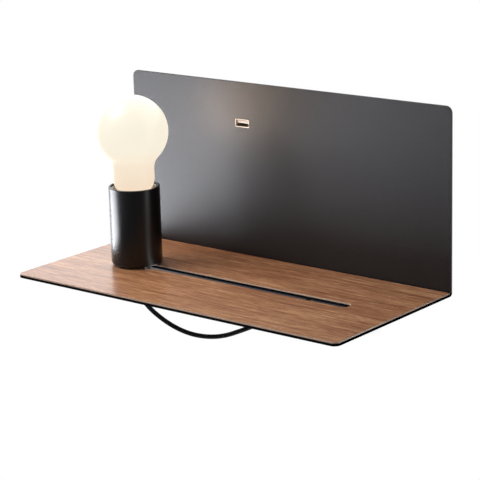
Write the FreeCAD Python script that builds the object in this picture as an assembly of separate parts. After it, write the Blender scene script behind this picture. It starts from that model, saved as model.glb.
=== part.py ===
import FreeCAD, Part
import math
import os

# Wall lamp with a shelf, in millimetres.
# X runs along the shelf, the room lies towards -Y, +Z is up.
# The origin is the middle of the wall bracket's back face, on the wall plane y = 0.

Vector = FreeCAD.Vector

# ---------------------------------------------------------------- driving dimensions

# Bent steel sheet: the back panel and the shelf are one piece.
shelf_width = 325.0
shelf_depth = 151.0             # from the panel's front face to the shelf's front edge
panel_height = 147.0            # from the shelf's surface to the panel's top edge
sheet_thickness = 2.0
bend_inner_radius = 1.0
corner_radius = 5.5

# Wood veneer glued on the shelf.
veneer_thickness = 1.2
veneer_inset = 0.3              # bare steel left around the veneer
veneer_back_gap = 1.2           # bare strip at the bend

# Slot that the lamp slides in.
slot_from_side = 45.0           # shelf's side to the slot's end, at both ends
slot_from_panel = 72.5          # panel's front face to the slot's middle line

# Housing behind the panel: a folded tray, open towards the wall.
housing_width = 220.0
housing_height = 116.0
housing_depth = 27.0            # wall to the panel's back face
housing_wall = 1.2
housing_corner = 3.0

# Wall bracket and its fixing screws.
bracket_height = 50.0
bracket_thickness = 1.5
bracket_ear_depth = 16.0
bracket_side_clearance = 0.3
wall_slot_spacing = 160.0
wall_slot_width = 5.0
wall_slot_length = 14.0
mains_hole_diameter = 20.0
fixing_screw_diameter = 4.0
fixing_screw_length = 8.0
fixing_screw_head = 7.6
fixing_screw_head_height = 2.6
fixing_screw_from_wall = 9.0

# Welded studs and flange nuts that hold the housing to the panel.
stud_diameter = 4.0
stud_length = 7.0
stud_from_side = 15.0           # from the housing's sides
stud_from_top = 18.0            # from its top and its bottom
stud_nut_flats = 7.0
stud_nut_height = 3.2
stud_nut_flange = 9.0
stud_nut_flange_height = 1.0

# USB socket, its board and its supply.
usb_from_middle = -42.0
usb_above_shelf = 112.4
usb_shell_width = 13.1
usb_shell_height = 5.7
usb_shell_wall = 0.3
usb_shell_length = 14.3
usb_lip_width = 14.6
usb_lip_height = 6.5
usb_lip_depth = 1.2
usb_lip_proud = 0.3
usb_cutout_clearance = 0.15
usb_tongue_width = 11.1
usb_tongue_thickness = 1.85
usb_tongue_recess = 1.2
usb_tongue_rise = 0.95
usb_root_length = 4.0
usb_contact_width = 1.1
usb_contact_thickness = 0.3
usb_contact_length = 7.5
usb_contact_places = (-3.5, -1.0, 1.0, 3.5)
board_width = 38.0
board_height = 26.0
board_to_housing = 4.9          # board's top edge to the housing's upper wall
board_thickness = 1.6
board_hole_spacing = 30.0
standoff_flats = 5.0
board_screw_diameter = 2.5
board_screw_length = 6.0
board_screw_head = 4.6
board_screw_head_height = 1.8
inductor_side = 8.0
inductor_height = 4.0
capacitor_diameter = 6.3
capacitor_height = 7.0
driver_width = 52.0
driver_height = 32.0
driver_thickness = 18.0
driver_from_side = 26.8         # from the housing's right wall
driver_to_housing = 6.8         # driver's top to the housing's upper wall
driver_edge = 2.0

# Mains terminal block and earth screw on the bracket.
terminal_pitch = 12.0
terminal_poles = 3
terminal_height = 18.0
terminal_depth = 15.0
terminal_from_middle = -42.0
terminal_above_middle = -8.0
terminal_wire_hole = 3.6
terminal_screw_diameter = 3.5
terminal_screw_spacing = 9.0
terminal_screw_sunk = 2.5
terminal_screw_length = 5.0
earth_from_middle = 32.0
earth_below_middle = 12.0
earth_screw_diameter = 4.0
earth_screw_head = 7.6
earth_screw_head_height = 2.6
earth_boss_diameter = 8.0
earth_boss_height = 3.0

# Gland where the lamp's cord enters the housing from below.
gland_from_middle = 30.0
gland_from_wall = 14.0
gland_thread_diameter = 12.0
gland_thread_length = 7.0
gland_flange_diameter = 16.0
gland_flange_height = 3.0
gland_taper_start = 11.0
gland_taper_end = 6.4
gland_drop = 20.5               # housing underside to the cord's exit
gland_rings = 4
gland_ring_groove = 0.7
gland_nut_flats = 17.0
gland_nut_height = 4.0

# Lamp: turned cup, disc, slide bush, hollow stem and what clamps them.
lamp_from_slot_end = 17.5       # at rest, from the slot's left end to the lamp's axis
cup_diameter = 42.5
cup_wall = 2.0
cup_floor = 4.4
cup_bottom_round = 1.5
cup_rim_chamfer = 0.4
cup_height = 65.1
lamp_lift = 1.6                 # shelf's surface to the cup's underside
disc_diameter = 30.0
stem_diameter = 10.0
stem_bore = 6.4
stem_chamfer = 0.6
slot_clearance = 0.2            # each side of the stem and of the bush's key
glide_clearance = 0.2           # above and below the shelf
end_clearance = 0.5             # key to the slot's end, at each end of the travel
key_length = 20.0
bush_length = 22.0
bush_width = 20.0
bush_thickness = 1.5
spring_diameter = 18.0
spring_thickness = 0.5
spring_height = 0.9
stem_nut_flats = 14.0
stem_nut_height = 2.8
grip_collar_diameter = 13.0
grip_collar_height = 3.5
grip_end_diameter = 7.0
grip_height = 7.4
fit_clearance = 0.1             # parts of one body that are pushed or screwed together

# Lampholder for a 27 mm Edison screw, measured up from the cup's floor.
holder_diameter = 37.8
dome_height = 22.0
dome_boss_diameter = 16.0
dome_boss_height = 4.0
dome_flare_height = 8.0
dome_wall = 2.2
dome_floor = 5.0
insert_diameter = 33.0
insert_ledge = 16.0
insert_rise = 19.0
insert_pocket = 7.5
insert_pocket_diameter = 26.0
barrel_top = 59.7
barrel_rim_wall = 1.0
barrel_rim_depth = 6.0
shell_metal = 0.35
stem_in_dome = 9.0
leaf_width = 6.0
leaf_thickness = 0.4
leaf_length = 15.0
terminal_post_width = 7.0
terminal_post_height = 4.0
terminal_post_spacing = 16.0

# Light bulb: a pear-shaped opal bulb with its screw cap.
bulb_diameter = 60.0
bulb_length = 106.0
bulb_neck_diameter = 34.6
bulb_neck_sweep = 14.0          # radius of the hollow curve from globe to neck
bulb_foot_sweep = 16.0          # radius of the curve from neck to cap
bulb_neck_bottom = 37.5         # above the tip
bulb_glass = 0.8
cap_diameter = 26.3
cap_thread_height = 14.5
cap_neck_diameter = 25.0        # between the thread and the skirt
cap_metal = 0.35
cap_skirt = 4.0
cap_cone_height = 3.0
cap_cone_diameter = 17.0
cap_insulator_height = 2.4
tip_diameter = 9.0
tip_height = 1.3
screw_clearance = 0.35          # cap to the holder's screw shell
tip_clearance = 0.3             # bulb's tip to the centre contact
pillar_gap = 0.3
led_pillar_diameter = 7.0
led_pillar_height = 44.0
led_rod_diameter = 1.6
led_rod_length = 30.0
led_rod_count = 4
led_ring_radius = 8.0
led_ring_lean = 5.0

# Free cord from the lamp's grip to the gland.
cord_diameter = 4.0
cord_gap = 0.3                  # grip's end to the cord, which stays when the lamp slides
cord_points = [
    (-100.0, -101.5, -89.9),
    (-100.0, -101.5, -94.0),
    (-98.5, -100.5, -101.5),
    (-93.0, -97.0, -113.0),
    (-78.0, -86.5, -128.5),
    (-62.0, -76.0, -137.0),
    (-44.0, -64.0, -138.5),
    (-26.5, -52.0, -131.5),
    (-11.0, -41.5, -123.5),
    (4.5, -31.0, -115.0),
    (16.5, -23.0, -107.5),
    (24.0, -18.0, -100.0),
    (28.5, -15.0, -91.8),
    (30.0, -14.0, -84.8),
    (30.0, -14.0, -78.5),
]
arc_share = 0.45                # part of the shorter run that each bend takes up

# ---------------------------------------------------------------- places worked out

shelf_top = -panel_height / 2
panel_top = shelf_top + panel_height
panel_back = -housing_depth
panel_front = panel_back - sheet_thickness
shelf_front = panel_front - shelf_depth
steel_top = shelf_top - veneer_thickness
steel_bottom = steel_top - sheet_thickness

slot_length = shelf_width - 2 * slot_from_side
slot_width = stem_diameter + 2 * slot_clearance
slot_y = panel_front - slot_from_panel
lamp_x = lamp_from_slot_end - slot_length / 2
lamp_reach = (slot_length - key_length) / 2 - end_clearance

cup_bottom = shelf_top + lamp_lift
cup_inside = cup_bottom + cup_floor
cup_top = cup_bottom + cup_height

bush_top = steel_bottom - glide_clearance
bush_bottom = bush_top - bush_thickness
spring_bottom = bush_bottom - spring_height
stem_nut_bottom = spring_bottom - stem_nut_height
grip_bottom = stem_nut_bottom - grip_height

barrel_rim = cup_inside + barrel_top
insert_bottom = cup_inside + insert_ledge
insert_top = insert_bottom + insert_rise
pocket_floor = insert_top - insert_pocket

shell_bore = cap_diameter + 2 * screw_clearance
shell_pocket = shell_bore + 2 * shell_metal + 2 * fit_clearance

tip_z = pocket_floor + leaf_thickness + 2.0 + tip_clearance
bulb_top = tip_z + bulb_length
globe_z = bulb_top - bulb_diameter / 2

usb_x = usb_from_middle
usb_z = shelf_top + usb_above_shelf
usb_face = panel_front - usb_lip_proud
board_front = usb_face + usb_shell_length
tray_floor = panel_back + housing_wall
housing_bottom = -housing_height / 2
housing_top = housing_height / 2
ear_outer = housing_width / 2 - housing_wall - bracket_side_clearance
stud_spacing_x = housing_width - 2 * stud_from_side
stud_spacing_z = housing_height - 2 * stud_from_top
board_z = housing_top - housing_wall - board_to_housing - board_height / 2
driver_x = housing_width / 2 - housing_wall - driver_from_side - driver_width / 2
driver_z = housing_top - housing_wall - driver_to_housing - driver_height / 2


# ---------------------------------------------------------------- drawing helpers

class Outline:
    """A closed outline in the XZ plane, drawn with lines and arcs."""

    def __init__(self, x, z):
        self.start = Vector(x, 0, z)
        self.at = self.start
        self.edges = []

    def line(self, x, z):
        end = Vector(x, 0, z)
        self.edges.append(Part.makeLine(self.at, end))
        self.at = end
        return self

    def arc(self, centre, radius, middle, end):
        """Arc about a centre, past the angle `middle`, to the angle `end`, in degrees."""
        through = on_circle(centre, radius, middle)
        finish = on_circle(centre, radius, end)
        self.edges.append(Part.Arc(self.at, through, finish).toShape())
        self.at = finish
        return self

    def curve(self, through_x, through_z, x, z):
        """Arc through one point to another."""
        finish = Vector(x, 0, z)
        self.edges.append(Part.Arc(self.at, Vector(through_x, 0, through_z), finish).toShape())
        self.at = finish
        return self

    def dome(self, z):
        """Arc about a point on the axis, to the axis at height z."""
        rise = z - self.at.z
        radius = (self.at.x ** 2 + rise ** 2) / (2 * rise)
        slope = math.degrees(math.asin(self.at.x / radius))
        return self.arc((0, z - radius), radius, 90 - slope / 2, 90)

    def face(self):
        if (self.at - self.start).Length > 1e-6:
            self.line(self.start.x, self.start.z)
        return Part.Face(Part.Wire(self.edges))

    def turned(self, x, y):
        """Solid of revolution about the upright axis through (x, y)."""
        solid = self.face().revolve(Vector(0, 0, 0), Vector(0, 0, 1), 360)
        return solid.translated(Vector(x, y, 0))


def on_circle(centre, radius, degrees):
    angle = math.radians(degrees)
    return Vector(centre[0] + radius * math.cos(angle), 0, centre[1] + radius * math.sin(angle))


def block(x_range, y_range, z_range):
    low = Vector(x_range[0], y_range[0], z_range[0])
    size = Vector(x_range[1], y_range[1], z_range[1]) - low
    return Part.makeBox(size.x, size.y, size.z, low)


def rod(diameter, start, end):
    """Round bar from one point to another."""
    along = Vector(*end) - Vector(*start)
    return Part.makeCylinder(diameter / 2, along.Length, Vector(*start), along)


def joined(solids):
    whole = solids[0]
    for solid in solids[1:]:
        whole = whole.fuse(solid)
    return whole.removeSplitter()


def group(solids):
    """Separate solids of one node."""
    return Part.makeCompound(solids)


def rounded_rectangle(width, height, radius, x, z):
    """Wire in the XZ plane, centred on (x, z)."""
    right = x + width / 2
    left = x - width / 2
    top = z + height / 2
    bottom = z - height / 2
    outline = Outline(left + radius, bottom)
    outline.line(right - radius, bottom)
    outline.arc((right - radius, bottom + radius), radius, -45, 0)
    outline.line(right, top - radius)
    outline.arc((right - radius, top - radius), radius, 45, 90)
    outline.line(left + radius, top)
    outline.arc((left + radius, top - radius), radius, 135, 180)
    outline.line(left, bottom + radius)
    outline.arc((left + radius, bottom + radius), radius, 225, 270)
    return Part.Wire(outline.edges)


def upright_plate(width, height, radius, y_range, x=0.0, z=0.0):
    """Rounded plate that faces the room."""
    wire = rounded_rectangle(width, height, radius, x, z)
    wire.translate(Vector(0, y_range[0], 0))
    return Part.Face(wire).extrude(Vector(0, y_range[1] - y_range[0], 0))


def stadium(length, width, x, y, z_range):
    """Upright prism with two round ends, lying along X."""
    radius = width / 2
    half = length / 2
    reach = half - radius
    low = z_range[0]
    right = Part.Arc(Vector(reach, -radius, low), Vector(half, 0, low), Vector(reach, radius, low))
    left = Part.Arc(Vector(-reach, radius, low), Vector(-half, 0, low), Vector(-reach, -radius, low))
    front = Part.makeLine(Vector(-reach, -radius, low), Vector(reach, -radius, low))
    back = Part.makeLine(Vector(reach, radius, low), Vector(-reach, radius, low))
    wire = Part.Wire([front, right.toShape(), back, left.toShape()])
    prism = Part.Face(wire).extrude(Vector(0, 0, z_range[1] - low))
    return prism.translated(Vector(x, y, 0))


def hexagon(flats, height):
    """Upright hexagonal prism standing on the origin, with its corners chamfered by a cone."""
    corner = flats / math.sqrt(3)
    corners = []
    for step in range(7):
        angle = math.radians(60 * step)
        corners.append(Vector(corner * math.cos(angle), corner * math.sin(angle), 0))
    prism = Part.Face(Part.makePolygon(corners)).extrude(Vector(0, 0, height))
    drop = (corner - flats / 2) * 0.6
    cap = Outline(0, 0).line(flats / 2, 0).line(corner, drop).line(corner, height - drop)
    cap.line(flats / 2, height).line(0, height)
    return prism.common(cap.turned(0, 0))


def pan_screw(diameter, length, head_diameter, head_height):
    """Screw that points down from the origin, with its head above it and a cross recess."""
    crown = head_height * 0.35
    head = Outline(0, 0).line(head_diameter / 2, 0).line(head_diameter / 2, head_height - crown)
    head.dome(head_height)
    screw = joined([head.turned(0, 0), rod(diameter, (0, 0, 0), (0, 0, -length))])
    blade = head_diameter * 0.28
    width = head_diameter * 0.09
    sunk = (head_height * 0.45, head_height)
    across = block((-blade, blade), (-width, width), sunk)
    recess = across.fuse(block((-width, width), (-blade, blade), sunk))
    return screw.cut(recess)


def facing_room(shape, x, y, z):
    """Turns a piece drawn along +Z to point towards the room, and puts its origin at (x, y, z)."""
    turned = shape.copy()
    turned.rotate(Vector(0, 0, 0), Vector(1, 0, 0), 90)
    return turned.translated(Vector(x, y, z))


def facing_wall(shape, x, y, z):
    """Turns a piece drawn along +Z to point towards the wall, and puts its origin at (x, y, z)."""
    turned = shape.copy()
    turned.rotate(Vector(0, 0, 0), Vector(1, 0, 0), -90)
    return turned.translated(Vector(x, y, z))


def four_corners(spacing_x, spacing_z):
    return [(x * spacing_x / 2, z * spacing_z / 2) for x in (-1, 1) for z in (-1, 1)]


# ---------------------------------------------------------------- shelf and panel

def slot_cutter(grow=0.0):
    reach = (steel_bottom - sheet_thickness, shelf_top + sheet_thickness)
    return stadium(slot_length + 2 * grow, slot_width + 2 * grow, 0, slot_y, reach)


def usb_cutter(y_range):
    margin = 2 * usb_cutout_clearance
    width = usb_lip_width + margin
    height = usb_lip_height + margin
    return upright_plate(width, height, usb_cutout_clearance + usb_shell_height / 6, y_range, usb_x, usb_z)


def steel_sheet():
    """Back panel and shelf: one sheet with a right-angled bend."""
    centre = (panel_front - bend_inner_radius, steel_top + bend_inner_radius)
    outline = Outline(panel_back, panel_top)
    outline.line(panel_back, centre[1])
    outline.arc(centre, bend_inner_radius + sheet_thickness, -45, -90)
    outline.line(shelf_front, steel_bottom)
    outline.line(shelf_front, steel_top)
    outline.line(centre[0], steel_top)
    outline.arc(centre, bend_inner_radius, -45, 0)
    outline.line(panel_front, panel_top)
    profile = outline.face()
    profile.rotate(Vector(0, 0, 0), Vector(0, 0, 1), 90)
    sheet = profile.translated(Vector(-shelf_width / 2, 0, 0)).extrude(Vector(shelf_width, 0, 0))
    corners = []
    for edge in sheet.Edges:
        middle = edge.CenterOfMass
        at_side = abs(abs(middle.x) - shelf_width / 2) < 0.01
        at_end = middle.z > panel_top - 0.01 or middle.y < shelf_front + 0.01
        if at_side and at_end and edge.Length < 2 * sheet_thickness:
            corners.append(edge)
    sheet = sheet.makeFillet(corner_radius, corners)
    sheet = sheet.cut(slot_cutter())
    return sheet.cut(usb_cutter((panel_front - 1, panel_back + 1)))


def veneer():
    """Wood veneer on the shelf, cut back a little from the steel's edges."""
    half = shelf_width / 2 - veneer_inset
    y_range = (shelf_front + veneer_inset, panel_front - veneer_back_gap)
    sheet = block((-half, half), y_range, (steel_top, shelf_top))
    corners = []
    for edge in sheet.Edges:
        upright = edge.Length < 2 * veneer_thickness
        if upright and edge.CenterOfMass.y < shelf_front + corner_radius:
            corners.append(edge)
    sheet = sheet.makeFillet(corner_radius - veneer_inset, corners)
    return sheet.cut(slot_cutter(veneer_inset))


# ---------------------------------------------------------------- housing and wall bracket

def housing():
    """Folded tray behind the panel, open towards the wall."""
    tray = upright_plate(housing_width, housing_height, housing_corner, (panel_back, 0))
    inner_width = housing_width - 2 * housing_wall
    inner_height = housing_height - 2 * housing_wall
    tray = tray.cut(upright_plate(inner_width, inner_height, housing_corner - housing_wall, (tray_floor, 1)))
    tray = tray.cut(usb_cutter((panel_back - 1, tray_floor + 1)))
    for x, z in four_corners(stud_spacing_x, stud_spacing_z):
        hole = rod(stud_diameter + 2 * fit_clearance, (x, panel_back - 1, z), (x, tray_floor + 1, z))
        tray = tray.cut(hole)
    side = housing_width / 2 + 1
    screw_hole = fixing_screw_diameter + 2 * fit_clearance
    tray = tray.cut(rod(screw_hole, (-side, -fixing_screw_from_wall, 0), (side, -fixing_screw_from_wall, 0)))
    gland_low = (gland_from_middle, -gland_from_wall, housing_bottom - 1)
    gland_high = (gland_from_middle, -gland_from_wall, housing_bottom + housing_wall + 1)
    return tray.cut(rod(gland_thread_diameter + 2 * fit_clearance, gland_low, gland_high))


def wall_bracket():
    """Steel strap screwed to the wall, with an ear at each end that the housing slides over."""
    half = bracket_height / 2
    strap = block((-ear_outer, ear_outer), (-bracket_thickness, 0), (-half, half))
    pieces = [strap]
    for side in (-1, 1):
        ear_x = sorted((side * ear_outer, side * (ear_outer - bracket_thickness)))
        pieces.append(block(ear_x, (-bracket_ear_depth, 0), (-half, half)))
    boss_start = (earth_from_middle, -bracket_thickness, -earth_below_middle)
    boss_end = (earth_from_middle, -bracket_thickness - earth_boss_height, -earth_below_middle)
    pieces.append(rod(earth_boss_diameter, boss_start, boss_end))
    bracket = joined(pieces)
    through = (-bracket_ear_depth - 1, 1)
    bracket = bracket.cut(rod(mains_hole_diameter, (0, through[0], 0), (0, through[1], 0)))
    for x in (-wall_slot_spacing / 2, wall_slot_spacing / 2):
        slot = upright_plate(wall_slot_length, wall_slot_width, wall_slot_width / 2 - 0.01, (-3, 1), x, 0)
        bracket = bracket.cut(slot)
    screw_hole = fixing_screw_diameter + 2 * fit_clearance
    reach = ear_outer + 1
    left = (-reach, -fixing_screw_from_wall, 0)
    right = (reach, -fixing_screw_from_wall, 0)
    bracket = bracket.cut(rod(screw_hole, left, right))
    earth_hole = earth_screw_diameter + 2 * fit_clearance
    earth_low = (earth_from_middle, through[0], -earth_below_middle)
    earth_high = (earth_from_middle, through[1], -earth_below_middle)
    return bracket.cut(rod(earth_hole, earth_low, earth_high))


def fixing_screws():
    """Two screws through the housing's sides into the bracket's ears."""
    screws = []
    for side in (-1, 1):
        head = (fixing_screw_head, fixing_screw_head_height)
        screw = pan_screw(fixing_screw_diameter, fixing_screw_length, *head)
        screw.rotate(Vector(0, 0, 0), Vector(0, 1, 0), 90 * side)
        screws.append(screw.translated(Vector(side * housing_width / 2, -fixing_screw_from_wall, 0)))
    return group(screws)


def panel_studs():
    """Studs welded to the panel's back."""
    studs = []
    for x, z in four_corners(stud_spacing_x, stud_spacing_z):
        studs.append(rod(stud_diameter, (x, panel_back, z), (x, panel_back + stud_length, z)))
    return group(studs)


def stud_nuts():
    """Flange nuts on the studs, seated on the tray's floor."""
    nuts = []
    for x, z in four_corners(stud_spacing_x, stud_spacing_z):
        flange = rod(stud_nut_flange, (0, 0, 0), (0, 0, stud_nut_flange_height))
        nut = joined([hexagon(stud_nut_flats, stud_nut_height), flange])
        nut = nut.cut(rod(stud_diameter + 2 * fit_clearance, (0, 0, -1), (0, 0, stud_nut_height + 1)))
        nuts.append(facing_wall(nut, x, tray_floor, z))
    return group(nuts)


# ---------------------------------------------------------------- USB socket and supply

def usb_body(width, height, lip_width, lip_height, front, back):
    """Flared mouth and straight body of the socket's shell, as a solid."""
    radius = usb_shell_height / 8
    mouth = rounded_rectangle(lip_width, lip_height, 2 * radius, usb_x, usb_z)
    mouth.translate(Vector(0, front, 0))
    throat = rounded_rectangle(width, height, radius, usb_x, usb_z)
    throat.translate(Vector(0, usb_face + usb_lip_depth, 0))
    flare = Part.makeLoft([mouth, throat], True, True)
    body = upright_plate(width, height, radius, (usb_face + usb_lip_depth, back), usb_x, usb_z)
    return flare.fuse(body)


def usb_shell():
    """Drawn steel shell with a flared mouth."""
    outer = usb_body(usb_shell_width, usb_shell_height, usb_lip_width, usb_lip_height, usb_face, board_front)
    walls = 2 * usb_shell_wall
    inner_width = usb_shell_width - walls
    inner_height = usb_shell_height - walls
    lip = (usb_lip_width - walls, usb_lip_height - walls)
    inner = usb_body(inner_width, inner_height, lip[0], lip[1], usb_face, board_front + 1)
    return outer.cut(inner).removeSplitter()


def usb_tongue():
    """Plastic root that fills the shell's rear, with the tongue in the upper half."""
    walls = 2 * usb_shell_wall + 2 * fit_clearance
    root_y = (board_front - usb_root_length, board_front)
    root_width = usb_shell_width - walls
    root_height = usb_shell_height - walls
    root = upright_plate(root_width, root_height, usb_shell_height / 8, root_y, usb_x, usb_z)
    tongue_y = (usb_face + usb_tongue_recess, board_front)
    tongue_z = usb_z + usb_tongue_rise
    tongue = upright_plate(usb_tongue_width, usb_tongue_thickness, 0.4, tongue_y, usb_x, tongue_z)
    return joined([root, tongue])


def usb_contacts():
    """Four gilt contacts under the tongue."""
    top = usb_z + usb_tongue_rise - usb_tongue_thickness / 2
    back = board_front - usb_root_length
    strips = []
    for place in usb_contact_places:
        x = usb_x + place
        x_range = (x - usb_contact_width / 2, x + usb_contact_width / 2)
        strips.append(block(x_range, (back - usb_contact_length, back), (top - usb_contact_thickness, top)))
    return group(strips)


def board_hole_places():
    return [usb_x - board_hole_spacing / 2, usb_x + board_hole_spacing / 2]


def usb_board():
    """Circuit board across the back of the socket."""
    back = board_front + board_thickness
    board = upright_plate(board_width, board_height, 1.0, (board_front, back), usb_x, board_z)
    for x in board_hole_places():
        hole_diameter = board_screw_diameter + 2 * fit_clearance
        board = board.cut(rod(hole_diameter, (x, board_front - 1, board_z), (x, back + 1, board_z)))
    return board


def board_standoffs():
    """Hexagonal posts that carry the board off the tray's floor."""
    length = board_front - tray_floor
    posts = []
    for x in board_hole_places():
        bore_diameter = board_screw_diameter + 2 * fit_clearance
        bore = rod(bore_diameter, (0, 0, length - board_screw_length), (0, 0, length + 1))
        posts.append(facing_wall(hexagon(standoff_flats, length).cut(bore), x, tray_floor, board_z))
    return group(posts)


def board_screws():
    screws = []
    for x in board_hole_places():
        screw = pan_screw(board_screw_diameter, board_screw_length, board_screw_head, board_screw_head_height)
        screws.append(facing_wall(screw, x, board_front + board_thickness, board_z))
    return group(screws)


def board_parts():
    """Choke and capacitor on the board's rear face."""
    back = board_front + board_thickness
    choke_z = board_z + board_height / 4
    choke = upright_plate(inductor_side, inductor_side, 1.0, (back, back + inductor_height), usb_x, choke_z)
    can_z = board_z - board_height / 4
    can = rod(capacitor_diameter, (usb_x, back, can_z), (usb_x, back + capacitor_height, can_z))
    return group([choke, can])


def usb_driver():
    """Potted supply, bonded to the tray's floor."""
    y_range = (tray_floor, tray_floor + driver_thickness)
    case = upright_plate(driver_width, driver_height, driver_edge, y_range, driver_x, driver_z)
    rim = []
    for edge in case.Edges:
        if abs(edge.CenterOfMass.y - y_range[1]) < 0.01:
            rim.append(edge)
    return case.makeChamfer(driver_edge / 2, rim)


# ---------------------------------------------------------------- terminals on the bracket

def terminal_screw_places():
    places = []
    for pole in range(terminal_poles):
        x = terminal_from_middle + (pole - (terminal_poles - 1) / 2) * terminal_pitch
        for row in (-0.5, 0.5):
            places.append((x, terminal_above_middle + row * terminal_screw_spacing))
    return places


def terminal_block():
    """Moulded strip of poles, each with a wire hole right through and two screw wells."""
    width = terminal_pitch * terminal_poles
    x_range = (terminal_from_middle - width / 2, terminal_from_middle + width / 2)
    z_range = (terminal_above_middle - terminal_height / 2, terminal_above_middle + terminal_height / 2)
    front = -bracket_thickness - terminal_depth
    body = block(x_range, (front, -bracket_thickness), z_range)
    wire_y = front + terminal_depth * 0.55
    for x, z in terminal_screw_places():
        bottom = front + terminal_screw_sunk + terminal_screw_length
        body = body.cut(rod(terminal_screw_diameter + 2 * fit_clearance, (x, front - 1, z), (x, bottom, z)))
        body = body.cut(rod(terminal_wire_hole, (x, wire_y, z_range[0] - 1), (x, wire_y, z_range[1] + 1)))
    for pole in range(1, terminal_poles):
        x = x_range[0] + pole * terminal_pitch
        y_range = (front - 1, front + terminal_depth / 3)
        body = body.cut(block((x - 0.8, x + 0.8), y_range, (z_range[0] - 1, z_range[1] + 1)))
    return body


def terminal_screws():
    """Slotted grub screws in the terminal block's wells."""
    front = -bracket_thickness - terminal_depth + terminal_screw_sunk
    screws = []
    for x, z in terminal_screw_places():
        screw = rod(terminal_screw_diameter, (x, front, z), (x, front + terminal_screw_length, z))
        slot = block((x - 3, x + 3), (front - 1, front + 0.8), (z - 0.3, z + 0.3))
        screws.append(screw.cut(slot))
    return group(screws)


def earth_screw():
    """Brass screw in the bracket's earth boss."""
    length = earth_boss_height + bracket_thickness
    screw = pan_screw(earth_screw_diameter, length, earth_screw_head, earth_screw_head_height)
    y = -bracket_thickness - earth_boss_height
    return facing_room(screw, earth_from_middle, y, -earth_below_middle)


# ---------------------------------------------------------------- cord gland

def cord_gland():
    """Ringed, tapered strain relief that passes through the housing's underside."""
    exit_z = housing_bottom - gland_drop
    flange_z = housing_bottom - gland_flange_height
    thread = gland_thread_diameter / 2
    outline = Outline(cord_diameter * 0.4, housing_bottom + gland_thread_length)
    outline.line(thread, housing_bottom + gland_thread_length)
    outline.line(thread, housing_bottom)
    outline.line(gland_flange_diameter / 2, housing_bottom)
    outline.line(gland_flange_diameter / 2, flange_z + 0.8)
    outline.line(gland_flange_diameter / 2 - 0.8, flange_z)
    taper = flange_z - exit_z
    step = taper / gland_rings
    for ring in range(gland_rings):
        share = ring / gland_rings
        radius = (gland_taper_start * (1 - share) + gland_taper_end * share) / 2
        top = flange_z - ring * step
        outline.line(radius, top)
        outline.line(radius - 0.2, top - step * 0.62)
        outline.line(radius - gland_ring_groove, top - step * 0.7)
        outline.line(radius - gland_ring_groove, top - step)
    outline.line(cord_diameter * 0.4, exit_z)
    return outline.turned(gland_from_middle, -gland_from_wall)


def gland_nut():
    floor = housing_bottom + housing_wall
    nut = hexagon(gland_nut_flats, gland_nut_height)
    nut = nut.cut(rod(gland_thread_diameter + 2 * fit_clearance, (0, 0, -1), (0, 0, gland_nut_height + 1)))
    return nut.translated(Vector(gland_from_middle, -gland_from_wall, floor))


# ---------------------------------------------------------------- lamp that slides

def lamp_cup():
    """Turned cup: open at the top, rounded at the foot, bored for the stem."""
    outer = cup_diameter / 2
    inner = outer - cup_wall
    bore = stem_diameter / 2 + fit_clearance
    rim = cup_rim_chamfer
    foot = cup_bottom_round
    outline = Outline(bore, cup_bottom)
    outline.line(outer - foot, cup_bottom)
    outline.arc((outer - foot, cup_bottom + foot), foot, -45, 0)
    outline.line(outer, cup_top - rim)
    outline.line(outer - rim, cup_top)
    outline.line(inner + rim, cup_top)
    outline.line(inner, cup_top - rim)
    outline.line(inner, cup_inside)
    outline.line(bore, cup_inside)
    return outline.turned(lamp_x, slot_y)


def base_disc():
    """Steel disc that lifts the cup off the shelf and slides over the veneer."""
    outer = disc_diameter / 2
    bore = stem_diameter / 2 + fit_clearance
    bottom = shelf_top + glide_clearance
    outline = Outline(bore, bottom)
    outline.line(outer - 0.4, bottom)
    outline.line(outer, bottom + 0.4)
    outline.line(outer, cup_bottom)
    outline.line(bore, cup_bottom)
    return outline.turned(lamp_x, slot_y)


def slide_bush():
    """Nylon bush under the shelf; its key stands up in the slot on both sides of the stem."""
    flange = stadium(bush_length, bush_width, lamp_x, slot_y, (bush_bottom, bush_top))
    key_width = slot_width - 2 * slot_clearance
    key = stadium(key_length, key_width, lamp_x, slot_y, (bush_top, steel_top))
    bore = stem_diameter + 2 * fit_clearance
    hole = rod(bore, (lamp_x, slot_y, bush_bottom - 1), (lamp_x, slot_y, steel_top + 1))
    return joined([flange, key]).cut(hole)


def hollow_stem():
    """Threaded tube that carries the lamp and lets the cord through."""
    outer = stem_diameter / 2
    inner = stem_bore / 2
    top = cup_inside + stem_in_dome
    bottom = stem_nut_bottom - grip_height / 2
    outline = Outline(inner, bottom)
    outline.line(outer - stem_chamfer, bottom)
    outline.line(outer, bottom + stem_chamfer)
    outline.line(outer, top - stem_chamfer)
    outline.line(outer - stem_chamfer, top)
    outline.line(inner, top)
    return outline.turned(lamp_x, slot_y)


def spring_washer():
    """Coned washer that keeps the slide under a light load."""
    outer = spring_diameter / 2
    inner = stem_diameter / 2 + 2 * fit_clearance
    outline = Outline(inner, spring_bottom)
    outline.line(inner, spring_bottom + spring_thickness)
    outline.line(outer, bush_bottom)
    outline.line(outer, bush_bottom - spring_thickness)
    return outline.turned(lamp_x, slot_y)


def stem_nut():
    nut = hexagon(stem_nut_flats, stem_nut_height)
    nut = nut.cut(rod(stem_diameter + 2 * fit_clearance, (0, 0, -1), (0, 0, stem_nut_height + 1)))
    return nut.translated(Vector(lamp_x, slot_y, stem_nut_bottom))


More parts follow.
